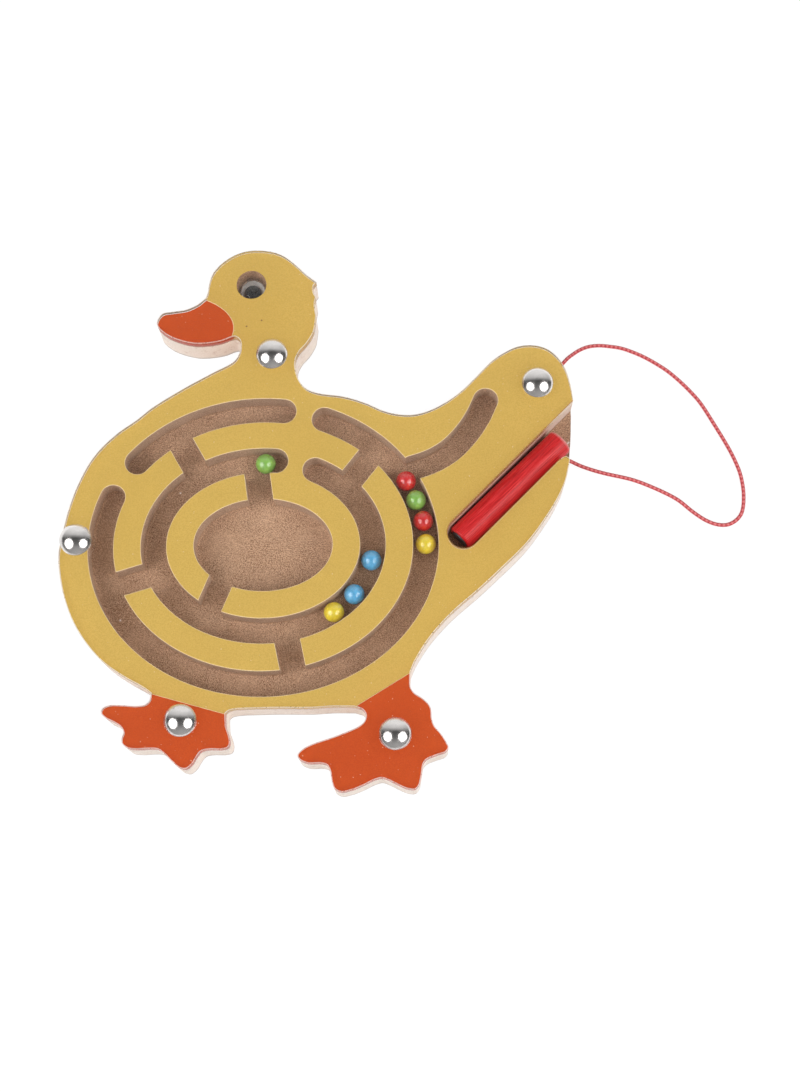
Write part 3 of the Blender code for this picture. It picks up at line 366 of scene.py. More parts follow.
def ring_point(ring, angle, drift=0.0):
    """Point of a ring channel's middle line, moved outwards by a drift."""
    point = Vector((ring[0] * math.cos(angle), ring[1] * math.sin(angle)))
    outward = Vector((math.cos(angle) / ring[0], math.sin(angle) / ring[1])).normalized()
    return MAZE_CENTRE + point + outward * drift


def beside_maze(pixel, height, wall, half_width):
    """Place outside the outer ring channel, level with a pixel and behind a wall."""
    drift = CHANNEL_WIDTH / 2 + wall + half_width
    return ring_point(OUTER_RING, ring_angle(OUTER_RING, pixel, height), drift)


SLOT_END = beside_maze(SLOT_END_PX, FACE_TOP_Z, SLOT_WALL, SLOT_WIDTH / 2)
PEN_ANGLE = SLOT_ANGLE + PEN_TILT
PEN_MIDDLE = SLOT_END + along(SLOT_ANGLE) * (PEN_LENGTH / 2 + SLOT_END_CLEARANCE - SLOT_WIDTH / 2)
SLOT_MOUTH = (*(SLOT_END + along(SLOT_ANGLE) * SLOT_MOUTH_REACH), COVER_TOP_Z)
TETHER_HOLE = PEN_MIDDLE + along(PEN_ANGLE) * (PEN_LENGTH / 2 - TETHER_INSET)
FASTENERS = {name: place(pixel, COVER_TOP_Z) for name, pixel in DOMES_PX.items()}
FASTENERS["left"] = beside_maze(LEFT_DOME_PX, COVER_TOP_Z, SLEEVE_WALL, SLEEVE_HOLE_DIAMETER / 2)


def ring_arc(ring, first, last):
    """Points of an oval about the maze's centre, counter-clockwise between two angles."""
    sweep = (last - first) % math.tau
    steps = math.ceil(sweep / ARC_STEP)
    return [ring_point(ring, first + sweep * step / steps) for step in range(steps + 1)]


def ring_path(ring, ends):
    """Middle line of a ring channel, counter-clockwise between two ends."""
    return ring_arc(ring, *(ring_angle(ring, pixel) for pixel in ends))


def passage_path(ends):
    """Middle line of a passage, run on into the channels at both ends."""
    inner, outer = (place(pixel, FACE_TOP_Z) for pixel in ends)
    overlap = (outer - inner).normalized() * CHANNEL_WIDTH * PASSAGE_OVERLAP_SHARE
    return [inner - overlap, outer + overlap]


def turn_about(centre, arm):
    """The inner points of a counter-clockwise half circle that starts at the arm's end."""
    return [
        centre + Matrix.Rotation(math.pi * step / CAP_STEPS, 2) @ arm for step in range(1, CAP_STEPS)
    ]


def lane_loop(path, half_width):
    """Closed loop round a path at a constant distance, with round ends."""
    headings = [(b - a).normalized() for a, b in zip(path, path[1:])]
    bends = [(a + b).normalized() for a, b in zip(headings, headings[1:])]
    headings = [headings[0], *bends, headings[-1]]
    lefts = [Vector((-heading.y, heading.x)) * half_width for heading in headings]
    loop = [point - left for point, left in zip(path, lefts)]
    loop += turn_about(path[-1], -lefts[-1])
    loop += [point + left for point, left in zip(reversed(path), reversed(lefts))]
    loop += turn_about(path[0], lefts[0])
    return loop


def oval_loop(centre, half_length, half_width):
    """Closed counter-clockwise ellipse."""
    steps = round(math.tau / ARC_STEP)
    return [
        centre + Vector((half_length * math.cos(a), half_width * math.sin(a)))
        for a in (math.tau * step / steps for step in range(steps))
    ]


def inset_loop(loop, inset):
    """A closed plan loop moved inwards by a small distance."""
    area = sum(a.x * b.y - b.x * a.y for a, b in zip(loop, loop[1:] + loop[:1])) / 2
    side = math.copysign(inset, area)
    moved = []
    for before, point, after in zip(loop[-1:] + loop[:-1], loop, loop[1:] + loop[:1]):
        arriving, leaving = (point - before).normalized(), (after - point).normalized()
        mitre = Vector((-arriving.y - leaving.y, arriving.x + leaving.x))
        share = max(mitre.length_squared / 2, inset)
        blunt = mitre.length_squared > SHARPEST_MITRE
        moved.append(point + mitre * side / share if blunt else point)
    return moved


def raised(loop, height):
    """A plan loop at a height."""
    return [Vector((point.x, point.y, height)) for point in loop]


def corner_levels(radius, steps=CORNER_STEPS):
    """Inset and rise of the levels of a rounded floor corner, from the floor up."""
    angles = [math.pi / 2 * step / steps for step in range(steps + 1)]
    return [(radius * (1 - math.sin(a)), radius * (1 - math.cos(a))) for a in angles]


def bridge(work, lower, upper):
    """Faces between two rings, either of which may be a single point."""
    count = max(len(lower), len(upper))
    for index in range(count):
        following = (index + 1) % count
        corners = [lower[index % len(lower)], lower[following % len(lower)]]
        corners += [upper[following % len(upper)], upper[index % len(upper)]]
        unique = [corner for n, corner in enumerate(corners) if corner not in corners[:n]]
        work.faces.new(unique)


def mesh_from(work, name):
    """Finished mesh of a bmesh, shaded smooth but for its sharp edges."""
    bmesh.ops.recalc_face_normals(work, faces=work.faces[:])
    mesh = bpy.data.meshes.new(name)
    work.to_mesh(mesh)
    work.free()
    mesh.shade_smooth()
    mesh.set_sharp_from_angle(angle=SHARP_ANGLE)
    return mesh


def stacked_mesh(name, loops):
    """Closed mesh that rises through loops of as many points each."""
    work = bmesh.new()
    rings = [[work.verts.new(point) for point in loop] for loop in loops]
    work.faces.new(rings[0])
    work.faces.new(rings[-1])
    for lower, upper in zip(rings, rings[1:]):
        bridge(work, lower, upper)
    return mesh_from(work, name)


def turned_mesh(name, profile, segments=ROUND_SEGMENTS):
    """Solid of revolution about Z, from radii and heights that start and end on the axis."""
    work = bmesh.new()
    rings = []
    for radius, height in profile:
        count = segments if radius > 0 else 1
        angles = [math.tau * step / count for step in range(count)]
        rings.append([work.verts.new((*(along(a) * radius), height)) for a in angles])
    for lower, upper in zip(rings, rings[1:]):
        bridge(work, lower, upper)
    return mesh_from(work, name)


def add_object(name, data, material=None, location=(0, 0, 0)):
    """Object of a mesh, a lamp or a camera in the scene, with its material and place."""
    piece = bpy.data.objects.new(name, data)
    bpy.context.scene.collection.objects.link(piece)
    if material and not data.materials:
        data.materials.append(material)
    piece.location = location
    return piece


def prism(name, loop, low, high, material=None):
    """Upright prism on a plan loop."""
    return add_object(name, stacked_mesh(name, [raised(loop, low), raised(loop, high)]), material)


def turned_object(name, profile, material=None, location=(0, 0, 0), segments=ROUND_SEGMENTS):
    """Solid of revolution, as an object."""
    return add_object(name, turned_mesh(name, profile, segments), material, location)


def cut(target, cutters):
    """Cut shapes out of an object for good, and keep each shape's own material on what it cuts."""
    for cutter in cutters:
        modifier = target.modifiers.new(cutter.name, "BOOLEAN")
        modifier.operation = "DIFFERENCE"
        modifier.solver = "EXACT"
        modifier.material_mode = "TRANSFER"
        modifier.object = cutter
    bpy.context.view_layer.update()
    depsgraph = bpy.context.evaluated_depsgraph_get()
    final = bpy.data.meshes.new_from_object(target.evaluated_get(depsgraph))
    target.modifiers.clear()
    final.name = target.name
    target.data = final
    final.shade_smooth()
    final.set_sharp_from_angle(angle=SHARP_ANGLE)


def pit_shape(name, loop_at, top, material):
    """The cutter of a pit with rounded floor corners, from what gives its loop at an inset."""
    loops = [
        raised(loop_at(inset), FLOOR_Z + rise) for inset, rise in corner_levels(FLOOR_RADIUS)
    ]
    loops.append(raised(loop_at(0), top))
    return add_object(name, stacked_mesh(name, loops), material)


def lane_shape(name, path, half_width, top, material):
    """The cutter of a channel with round ends."""
    return pit_shape(name, lambda inset: lane_loop(path, half_width - inset), top, material)


def finish_walls(shapes, material):
    """Give the upright faces of some cutters a finish of their own."""
    for shape in shapes:
        shape.data.materials.append(material)
        for polygon in shape.data.polygons:
            polygon.material_index = 1 if abs(polygon.normal.z) < UPRIGHT else 0
    return shapes


def maze_shapes(material, wall_material, widening=0.0):
    """The cutters of the chamber, the channels and the passages, widened all round."""
    top = FACE_TOP_Z + OVERRUN
    half_length, half_width = (half + widening for half in CHAMBER)

    def chamber_loop(inset):
        return oval_loop(MAZE_CENTRE, half_length - inset, half_width - inset)

    shapes = [pit_shape("cut_chamber", chamber_loop, top, material)]
    half_lane = (CHANNEL_WIDTH + 2 * widening) / 2
    lanes = {
        "cut_inner_ring": ring_path(INNER_RING, INNER_RING_ENDS_PX),
        "cut_outer_ring": ring_path(OUTER_RING, OUTER_RING_ENDS_PX),
        "cut_short_ring": ring_path(OUTER_RING, SHORT_RING_ENDS_PX),
        "cut_tail_channel": smooth_path([place(pixel, FACE_TOP_Z) for pixel in TAIL_CHANNEL_PX]),
        **{"cut_passage_" + name: passage_path(ends) for name, ends in PASSAGES_PX.items()},
    }
    shapes += [lane_shape(name, path, half_lane, top, material) for name, path in lanes.items()]
    return finish_walls(shapes, wall_material)


def slot_shapes(material, wall_material, widening=0.0):
    """The cutters of the pen's slot and of the rounding of its lower lip, widened all round."""
    top = COVER_TOP_Z + OVERRUN
    path = [SLOT_END, SLOT_END + along(SLOT_ANGLE) * SLOT_RUN_OUT]
    slot = lane_shape("cut_slot", path, SLOT_WIDTH / 2 + widening, top, material)
    trim = inset_loop([place(pixel, FACE_TOP_Z) for pixel in LIP_TRIM_PX], -widening)
    lip = prism("cut_lip", trim, FLOOR_Z + FLOOR_RADIUS, top, material)
    return finish_walls([slot, lip], wall_material)


def hole_shape(name, location, diameter, low, high, material=None):
    """The cutter of one round hole along Z."""
    radius = diameter / 2
    profile = [(0, low), (radius, low), (radius, high), (0, high)]
    return turned_object(name, profile, material, location, HOLE_SEGMENTS)


def cord_shapes(material):
    """The cutters of the tail's cord hole, and of the pocket and bore that lead to the pen."""
    start, following = (Vector(point) for point in CORD_ROUTE[:2])
    diameter = CORD_HOLE_DIAMETER
    tail_hole = hole_shape("cut_tail_hole", start, diameter, -GAP, TAIL_HOLE_LENGTH, material)
    tail_hole.rotation_euler = (following - start).to_track_quat("Z", "Y").to_euler()
    outward = along(TETHER_ANGLE)
    mouth = TETHER_HOLE + outward * TETHER_POCKET_LENGTH
    loop = lane_loop([mouth, TETHER_HOLE], TETHER_POCKET_WIDTH / 2)
    low = TETHER_BORE_HEIGHT - diameter / 2
    pocket = prism("cut_tether_pocket", loop, low, FLOOR_Z + OVERRUN, material)
    bore_start = (*mouth, TETHER_BORE_HEIGHT)
    bore = hole_shape("cut_tether_bore", bore_start, diameter, 0, TETHER_BORE_LENGTH, material)
    bore.rotation_euler = Vector((*outward, 0)).to_track_quat("Z", "Y").to_euler()
    return [tail_hole, pocket, bore]


def upper_edge(radius, height, rounding, steps):
    """The profile of a rounded upper edge, from the side up."""
    corner = reversed(corner_levels(rounding, steps))
    return [(radius - inset, height - rise) for inset, rise in corner]


def discard(shapes):
    """Remove cutters that have done their work."""
    for shape in shapes:
        bpy.data.objects.remove(shape, do_unlink=True)


def feed(socket, value):
    """Link a socket to another one, or set it to a colour or a number."""
    if isinstance(value, bpy.types.NodeSocket):
        socket.id_data.links.new(value, socket)
    else:
        socket.default_value = (*value, 1.0) if socket.type == "RGBA" else value


def add_node(tree, kind, output, inputs=None, **settings):
    """One output of a new node, whose settings are made and whose inputs are fed."""
    node = tree.nodes.new("ShaderNode" + kind)
    for setting, value in settings.items():
        setattr(node, setting, value)
    for key, value in (inputs or {}).items():
        feed(node.inputs[key], value)
    return node.outputs[output]


def object_place(tree, scale=(1, 1, 1)):
    """Object coordinates, stretched by a scale."""
    coordinates = add_node(tree, "TexCoord", "Object")
    return add_node(tree, "Mapping", "Vector", {"Vector": coordinates, "Scale": scale})


def noise_value(tree, scale, detail, roughness, stretch=(1, 1, 1)):
    """Noise over an object, of a number of cells to the metre."""
    vector = object_place(tree, stretch)
    inputs = {"Vector": vector, "Scale": scale, "Detail": detail, "Roughness": roughness}
    return add_node(tree, "TexNoise", "Fac", inputs)


def ramp(value, stops):
    """Colours read off a ramp of positions."""
    node = value.id_data.nodes.new("ShaderNodeValToRGB")
    elements = node.color_ramp.elements
    while len(elements) < len(stops):
        elements.new(0.5)
    for element, (position, colour) in zip(elements, stops):
        element.position = position
        element.color = (*colour, 1.0)
    feed(node.inputs["Fac"], value)
    return node.outputs["Color"]


def levels(value, low, high, out_low=0.0, out_high=1.0):
    """A value spread from one range to another, held at its ends."""
    inputs = {
        "Value": value, "From Min": low, "From Max": high, "To Min": out_low, "To Max": out_high,
    }
    return add_node(value.id_data, "MapRange", "Result", inputs)


def calc(operation, first, second):
    """One sum on values."""
    inputs = {0: first, 1: second}
    return add_node(first.id_data, "Math", "Value", inputs, operation=operation)


def mixed(factor, first, second):
    """Two colours mixed by a value. A Mix node holds them in its inputs 6 and 7 and output 2."""
    inputs = {0: factor, 6: first, 7: second}
    return add_node(factor.id_data, "Mix", 2, inputs, data_type="RGBA")


def overlaid(colour, tint, value, low, high, share):
    """A colour under a tint, which grows to a share of it as a value goes from low to high."""
    return mixed(levels(value, low, high, 0.0, share), colour, tint)


def near_any(tree, points, low, high):
    """1 where the surface is within the low distance of some point, 0 beyond the high one of all."""
    surface = add_node(tree, "TexCoord", "Object")
    nearness = 0.0
    for point in points:
        distance = add_node(tree, "VectorMath", "Value", {0: surface, 1: point}, operation="DISTANCE")
        nearness = calc("MAXIMUM", levels(distance, low, high, 1.0, 0.0), nearness)
    return nearness


def spotted(colour, tint, points, reach, share):
    """A colour with spots of a tint at some points, that fade out over a reach of two distances."""
    spots = calc("MULTIPLY", near_any(colour.id_data, points, *reach), share)
    return mixed(spots, colour, tint)


def dimmed(colour, share):
    """A colour times a share."""
    return tuple(part * share for part in colour)


def shaded(material, inputs):
    """A material with some inputs of its Principled shader fed."""
    shader = material.node_tree.nodes["Principled BSDF"]
    for key, value in inputs.items():
        feed(shader.inputs[key], value)
    return material


def textured(material, colour, roughness, relief, depth, strength):
    """A material with its colour, its roughness, and bumps from a relief of a depth in metres."""
    inputs = {"Height": relief, "Distance": depth, "Strength": strength}
    bumps = add_node(material.node_tree, "Bump", "Normal", inputs)
    return shaded(material, {"Base Color": colour, "Roughness": roughness, "Normal": bumps})


def new_material(name, inputs=None):
    """Material with one Principled shader, some of whose inputs are set, and its nodes."""
    material = bpy.data.materials.new(name)
    material.use_nodes = True
    return shaded(material, inputs or {}), material.node_tree


def fibre_material(name, dark, base, pale, roughness=0.85, chips=()):
    """Routed fibreboard: felted fibres with dark and pale flecks, and pale chips at some points."""
    material, tree = new_material(name)
    fine = noise_value(tree, 3400, 3.0, 0.65)
    flecks = noise_value(tree, 3300, 2.0, 0.5)
    clouds = noise_value(tree, 160, 3.0, 0.55)
    colour = ramp(fine, [(0.34, dark), (0.48, base), (0.61, pale)])
    colour = overlaid(colour, dark, flecks, 0.57, 0.66, 0.65)
    colour = overlaid(colour, pale, clouds, 0.35, 0.70, 0.28)
    if chips:
        colour = spotted(colour, CHIP_PALE, chips, CHIP_REACH, 0.85)
    gloss = levels(flecks, 0.3, 0.7, roughness - 0.08, roughness + 0.1)
    return textured(material, colour, gloss, fine, 0.00012, 0.8)


def paint_material(name, base, worn, roughness=0.45, foot=None):
    """Thin, matt, uneven paint on fibreboard, darkened to a foot colour along the lowest edge: a
    painted contact shadow.
    """
    material, tree = new_material(name)
    patches = noise_value(tree, 420, 4.0, 0.6)
    grit = noise_value(tree, 3100, 2.0, 0.6)
    colour = ramp(patches, [(0.22, worn), (0.44, base)])
    colour = overlaid(colour, worn, grit, 0.56, 0.68, 0.70)
    # Painted contact shadow: the paint darkens to the foot colour near the floor.
    if foot:
        height = add_node(tree, "SeparateXYZ", "Z", {"Vector": object_place(tree)})
        colour = mixed(levels(height, *CONTACT_SHADE_REACH, 0.85, 0.0), colour, foot)
    gloss = levels(patches, 0.3, 0.7, roughness + 0.1, roughness)
    return textured(material, colour, gloss, grit, 0.00005, 0.5)


def print_material(name, base, deep, flaws=()):
    """Screen-printed satin ink with a faint mottle, a few pinholes, and dark flaws at some points."""
    material, tree = new_material(name, {"Specular IOR Level": 0.3})
    mottle = noise_value(tree, 2600, 3.0, 0.6)
    drift = noise_value(tree, 45, 2.0, 0.5)
    specks = noise_value(tree, 1500, 1.0, 0.4)
    colour = ramp(mottle, [(0.40, deep), (0.58, base)])
    colour = overlaid(colour, deep, drift, 0.35, 0.7, 0.35)
    colour = overlaid(colour, (0.80, 0.70, 0.50), specks, 0.76, 0.80, 0.6)
    if flaws:
        colour = spotted(colour, FLAW_DARK, flaws, FLAW_REACH, 0.80)
    gloss = levels(mottle, 0.3, 0.7, 0.50, 0.38)
    return textured(material, colour, gloss, mottle, 0.00003, 0.5)


def clear_material(name, tint, roughness=0.0, haze_depth=0.03):
    """Clear acrylic with a faint haze from rubbing."""
    clear = {"Transmission Weight": 1.0, "IOR": ACRYLIC_IOR, "Base Color": tint}
    material, tree = new_material(name, clear)
    haze = noise_value(tree, 220, 3.0, 0.7, (1, 4, 1))
    gloss = levels(haze, 0.45, 0.8, roughness, roughness + haze_depth)
    return shaded(material, {"Roughness": gloss})


def frosted_material(name, tint, clearness, shade_tint=None):
    """Frosted acrylic, partly clear: the sawn slot, and a painted highlight on the top edges. The
    shade tint, a painted shade, takes over deeper in the slot, beside the pen, than at its mouth.
    """
    material, tree = new_material(name, {"IOR": ACRYLIC_IOR, "Base Color": tint})
    if shade_tint:
        at_mouth = near_any(tree, [SLOT_MOUTH], *SLOT_MOUTH_RANGE)
        shaded(material, {"Base Color": mixed(at_mouth, shade_tint, tint)})
    scuffs = noise_value(tree, 900, 3.0, 0.6)
    return shaded(material, {
        "Transmission Weight": levels(scuffs, 0.35, 0.70, clearness + 0.12, clearness - 0.12),
        "Roughness": levels(scuffs, 0.35, 0.70, 0.25, 0.45),
    })


def metal_material(name, colour, low, high, stretch=(1, 1, 1), scale=1400, bump=0.00001):
    """Metal with fine wear in its gloss."""
    material, tree = new_material(name, {"Metallic": 1.0})
    wear = noise_value(tree, scale, 4.0, 0.65, stretch)
    stains = noise_value(tree, scale / 6, 2.0, 0.5, stretch)
    shade = ramp(stains, [(0.35, dimmed(colour, 0.86)), (0.6, colour)])
    gloss = levels(wear, 0.35, 0.75, low, high)
    return textured(material, shade, gloss, wear, bump, 0.6)


def lacquer_material(name, colour):
    """Glossy lacquer on a steel ball, a little uneven, with a few worn spots."""
    coat = {"Coat Weight": 0.75, "Coat Roughness": 0.05, "Coat IOR": 2.1}
    material, tree = new_material(name, coat)
    clouds = noise_value(tree, 500, 3.0, 0.6)
    chips = noise_value(tree, 1300, 2.0, 0.5)
    shade = ramp(clouds, [(0.35, dimmed(colour, 0.78)), (0.6, colour)])
    shade = overlaid(shade, (0.55, 0.5, 0.45), chips, 0.72, 0.78, 0.5)
    gloss = levels(clouds, 0.3, 0.7, 0.30, 0.22)
    return textured(material, shade, gloss, clouds, 0.00004, 0.4)


def red_wood_material(name):
    """Red lacquered dowel: lengthwise grain, and a pinker rim round the outer end's edge that is a
    painted highlight.
    """
    coat = {"Coat Weight": 0.15, "Coat Roughness": 0.25, "Specular IOR Level": 0.35}
    material, tree = new_material(name, coat)
    grain = noise_value(tree, 3000, 4.0, 0.7, (1, 1, 0.035))
    streaks = noise_value(tree, 900, 3.0, 0.6, (1, 1, 0.10))
    colour = ramp(grain, [
        (0.34, (0.40, 0.006, 0.008)), (0.50, (0.65, 0.012, 0.015)), (0.66, (0.86, 0.042, 0.044)),
    ])
    colour = overlaid(colour, (0.78, 0.060, 0.065), streaks, 0.55, 0.72, 0.35)
    flattened = object_place(tree, (1, 1, 0))
    radius = add_node(tree, "VectorMath", "Value", {0: flattened}, operation="LENGTH")
    height = add_node(tree, "SeparateXYZ", "Z", {"Vector": object_place(tree)})
    # The pinker rim round the outer end's rounded edge is a painted highlight.
    side = levels(radius, *(PEN_DIAMETER / 2 - inset for inset in RIM_HIGHLIGHT_SIDE))
    end = levels(height, *(PEN_LENGTH / 2 - inset for inset in RIM_HIGHLIGHT_END))
    rim_highlight = calc("MULTIPLY", calc("MULTIPLY", side, end),
                  levels(streaks, 0.25, 0.6, 0.5, 1.0))
    colour = mixed(rim_highlight, colour, (0.80, 0.33, 0.30))
    gloss = levels(grain, 0.3, 0.7, 0.36, 0.5)
    return textured(material, colour, gloss, grain, 0.00006, 0.6)


def plastic_material(name, base, deep, roughness):
    """Moulded plastic with a faint mottle."""
    material, tree = new_material(name)
    mottle = noise_value(tree, 1800, 3.0, 0.6)
    colour = ramp(mottle, [(0.35, deep), (0.6, base)])
    gloss = levels(mottle, 0.3, 0.7, roughness + 0.08, roughness)
    return textured(material, colour, gloss, mottle, 0.00002, 0.4)


def braid_material(name):
    """Braided polyester whose strands are painted with shade, dark red where they dive under each
    other, and with highlight, pale on their crests.
    """
    material, tree = new_material(name, {"Sheen Weight": 0.35, "Sheen Roughness": 0.4})
    fuzz = noise_value(tree, 6000, 2.0, 0.6)
    strand = add_node(tree, "Attribute", "Fac", attribute_name="strand")
    # Painted shade darkens the strands where they dive under, and painted highlight pales their crests.
    colour = ramp(strand, [
        (0.10, (0.40, 0.030, 0.040)), (0.45, (0.66, 0.075, 0.085)), (0.85, (0.82, 0.24, 0.24)),
    ])
    colour = overlaid(colour, (0.88, 0.42, 0.41), fuzz, 0.5, 0.75, 0.4)
    gloss = levels(fuzz, 0.3, 0.7, 0.7, 0.9)
    return textured(material, colour, gloss, fuzz, 0.00005, 0.6)


def finish_piece(piece, body, node):
    """Put a piece on its body and let it stand for its solid."""
    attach(piece, body)
    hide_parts(node)


def round_edges(piece):
    """Small rounded edges."""
    bevel = piece.modifiers.new("edges", "BEVEL")
    bevel.width = EDGE_ROUNDING
    bevel.segments = BEVEL_SEGMENTS
    bevel.limit_method = "ANGLE"
    bevel.angle_limit = ROUNDED_ANGLE
    bevel.harden_normals = True


# The camera stands where the picture was taken from.
CAMERA_PLACE = (0.0296, -0.1360, 0.5220)
CAMERA_RIGHT = (0.99994, 0.0, -0.01125)
CAMERA_UP = (0.00269, 0.97092, 0.23937)
CAMERA_BACK = (0.01092, -0.23938, 0.97086)
CLIP_START = 0.01
SENSOR_HEIGHT = 36.0
PICTURE_HEIGHT_PX = 1092
camera_data = bpy.data.cameras.new("camera")
camera_data.sensor_fit = "VERTICAL"
camera_data.sensor_height = SENSOR_HEIGHT
camera_data.lens = VIEW_FOCAL_PX / PICTURE_HEIGHT_PX * SENSOR_HEIGHT
camera_data.clip_start = CLIP_START
camera = add_object("camera", camera_data)
turn = Matrix((CAMERA_RIGHT, CAMERA_UP, CAMERA_BACK)).transposed()
camera.matrix_world = Matrix.Translation(CAMERA_PLACE) @ turn.to_4x4()
bpy.context.scene.camera = camera

# The cord
CORD_RING_STEP = 0.00016
CORD_SIDES = 16
STRAND_PITCH = 0.0026
STRAND_COUNT = 4
STRAND_RELIEF = 0.00007


def even_path(points, step):
    """Points at even steps along a path, and the path's length."""
    lengths = [0.0]
    for start, end in zip(points, points[1:]):
        lengths.append(lengths[-1] + (end - start).length)
    count = round(lengths[-1] / step)
    path, index = [], 0
    for number in range(count + 1):
        target = lengths[-1] * number / count
        while index < len(points) - 2 and lengths[index + 1] < target:
            index += 1
        share = (target - lengths[index]) / (lengths[index + 1] - lengths[index])
        path.append(points[index].lerp(points[index + 1], share))
    return path, lengths[-1]


def cord_mesh(path):
    """Tube of crossing strands, with how far each point stands out in the attribute strand."""
    work = bmesh.new()
    layer = work.verts.layers.float.new("strand")
    side = Vector((0, 0, 1))
    rings = []
    for index, point in enumerate(path):
        heading = (path[min(index + 1, len(path) - 1)] - path[max(index - 1, 0)]).normalized()
        side = (side - heading * side.dot(heading)).normalized()
        across = heading.cross(side)
        twist = math.tau * index * CORD_RING_STEP / STRAND_PITCH
        ring = []
        for number in range(CORD_SIDES):
            angle = math.tau * number / CORD_SIDES
            right_hand = math.cos(STRAND_COUNT / 2 * angle + twist)
            left_hand = math.cos(STRAND_COUNT / 2 * angle - twist)
            height = 0.5 + 0.5 * right_hand * left_hand
            radius = CORD_DIAMETER / 2 - STRAND_RELIEF * (1 - height)
            arm = side * math.cos(angle) + across * math.sin(angle)
            vert = work.verts.new(point + arm * radius)
            vert[layer] = height
            ring.append(vert)
        rings.append(ring)
    work.faces.new(list(reversed(rings[0])))
    work.faces.new(rings[-1])
    for lower, upper in zip(rings, rings[1:]):
        bridge(work, lower, upper)
    return mesh_from(work, "cord")


cord_line = smooth_path([Vector(point) for point in CORD_ROUTE])
cord_path, cord_length = even_path(cord_line, CORD_RING_STEP)
cord = add_object("cord", cord_mesh(cord_path), braid_material("braid"))
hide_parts("tether_cord")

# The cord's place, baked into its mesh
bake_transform(cord)

# The routed panel
CHIPS_PX = ((181.0, 494.0), (203.0, 494.5), (121.0, 621.0), (568.7, 442.4), (568.0, 443.4))
FLAWS_PX = ((262.0, 321.5), (247.0, 327.5))
BOARD_FLAT = 0.9
BOARD_SLOPED = 0.3
PAINTED, PRIMED, BACK, JOINT_SHADE = range(4)
chips = [(*place(pixel, FLOOR_Z), FLOOR_Z) for pixel in CHIPS_PX]
flaws = [(*place(pixel, FACE_TOP_Z), FACE_TOP_Z) for pixel in FLAWS_PX]
routed = fibre_material(
    "routed_fibre", (0.110, 0.055, 0.031), (0.400, 0.226, 0.132), (0.66, 0.43, 0.28), chips=chips,
)
# The channel walls get a paler copy of the routed fibre: painted light on the walls.
lit_wall_fibre = fibre_material(
    "lit_wall_fibre", (0.25, 0.160, 0.108), (0.45, 0.292, 0.196), (0.60, 0.42, 0.30),
)
back_face = fibre_material(
    "back_fibre", (0.30, 0.19, 0.11), (0.47, 0.32, 0.20), (0.60, 0.44, 0.30), 0.7,
)
# The rim paint's foot colour is a painted contact shadow along the board's lowest edge.
rim_paint = paint_material(
    "rim_paint", (0.97, 0.84, 0.74), (0.68, 0.50, 0.40), foot=(0.50, 0.44, 0.40),
)
# Darker brown on the shoulder along the board's top edge: painted shade of the joint under the cover.
joint_shade = paint_material("joint_shade", (0.50, 0.36, 0.25), (0.34, 0.22, 0.14), 0.7)
# The slot's walls are pale paint, made paler still as painted light where light rakes them.
slot_paint_and_light = paint_material("slot_paint_and_light", (0.76, 0.59, 0.49), (0.50, 0.35, 0.26), 0.7)
primer = paint_material("primer", (0.88, 0.73, 0.46), (0.74, 0.56, 0.34))
yellow = print_material("yellow_print", (0.635, 0.435, 0.106), (0.565, 0.378, 0.083), flaws)
orange = print_material("orange_print", (0.560, 0.078, 0.006), (0.505, 0.065, 0.005))

shoulder = inset_loop(OUTLINE, SHOULDER)
board_loops = [
    raised(OUTLINE, 0), raised(OUTLINE, PRIMER_Z - SHOULDER), raised(shoulder, PRIMER_Z),
]
board = add_object("board_panel", stacked_mesh("board_panel", board_loops), rim_paint)
for material in (primer, back_face, joint_shade):
    board.data.materials.append(material)
for polygon in board.data.polygons:
    upward = polygon.normal.z
    if abs(upward) > BOARD_FLAT:
        polygon.material_index = PRIMED if upward > 0 else BACK
    else:
        polygon.material_index = JOINT_SHADE if abs(upward) > BOARD_SLOPED else PAINTED

maze = maze_shapes(routed, lit_wall_fibre)
slot = slot_shapes(routed, slot_paint_and_light)
eye_hole = [
    hole_shape("cut_eye", (*EYE_CENTRE, 0), EYE_HOLE_DIAMETER, FLOOR_Z, COVER_TOP_Z, routed),
]
wide, narrow = COUNTERBORE_DIAMETER / 2, SLEEVE_HOLE_DIAMETER / 2
sleeve_top = COVER_TOP_Z + OVERRUN
sleeve_profile = [
    (0, -OVERRUN), (wide, -OVERRUN), (wide, COUNTERBORE_TOP), (narrow, COUNTERBORE_TOP),
    (narrow, sleeve_top), (0, sleeve_top),
]
sleeves = [
    turned_object("cut_sleeve_" + name, sleeve_profile, routed, (*centre, 0), HOLE_SEGMENTS)
    for name, centre in FASTENERS.items()
]
ways = cord_shapes(routed)
cut(board, maze + slot + eye_hole + sleeves + ways)
round_edges(board)
finish_piece(board, "board", "maze_board")

# The printed faces, set in a little from every edge
PRINT_LIFT = 0.00001
wide_maze = maze_shapes(primer, primer, PRINT_INSET)
wide_slot = slot_shapes(primer, primer, PRINT_INSET)


def passage_angle(name):
    """Angle on the inner ring at which a passage crosses the land beside it."""
    inner, outer = PASSAGES_PX[name]
    return ring_angle(INNER_RING, ((inner[0] + outer[0]) / 2, (inner[1] + outer[1]) / 2))


def sector_loop(inner, outer, first, last):
    """Closed loop of the land between two ovals and two angles, counter-clockwise from the first."""
    return ring_arc(outer, first, last) + ring_arc(inner, first, last)[::-1]


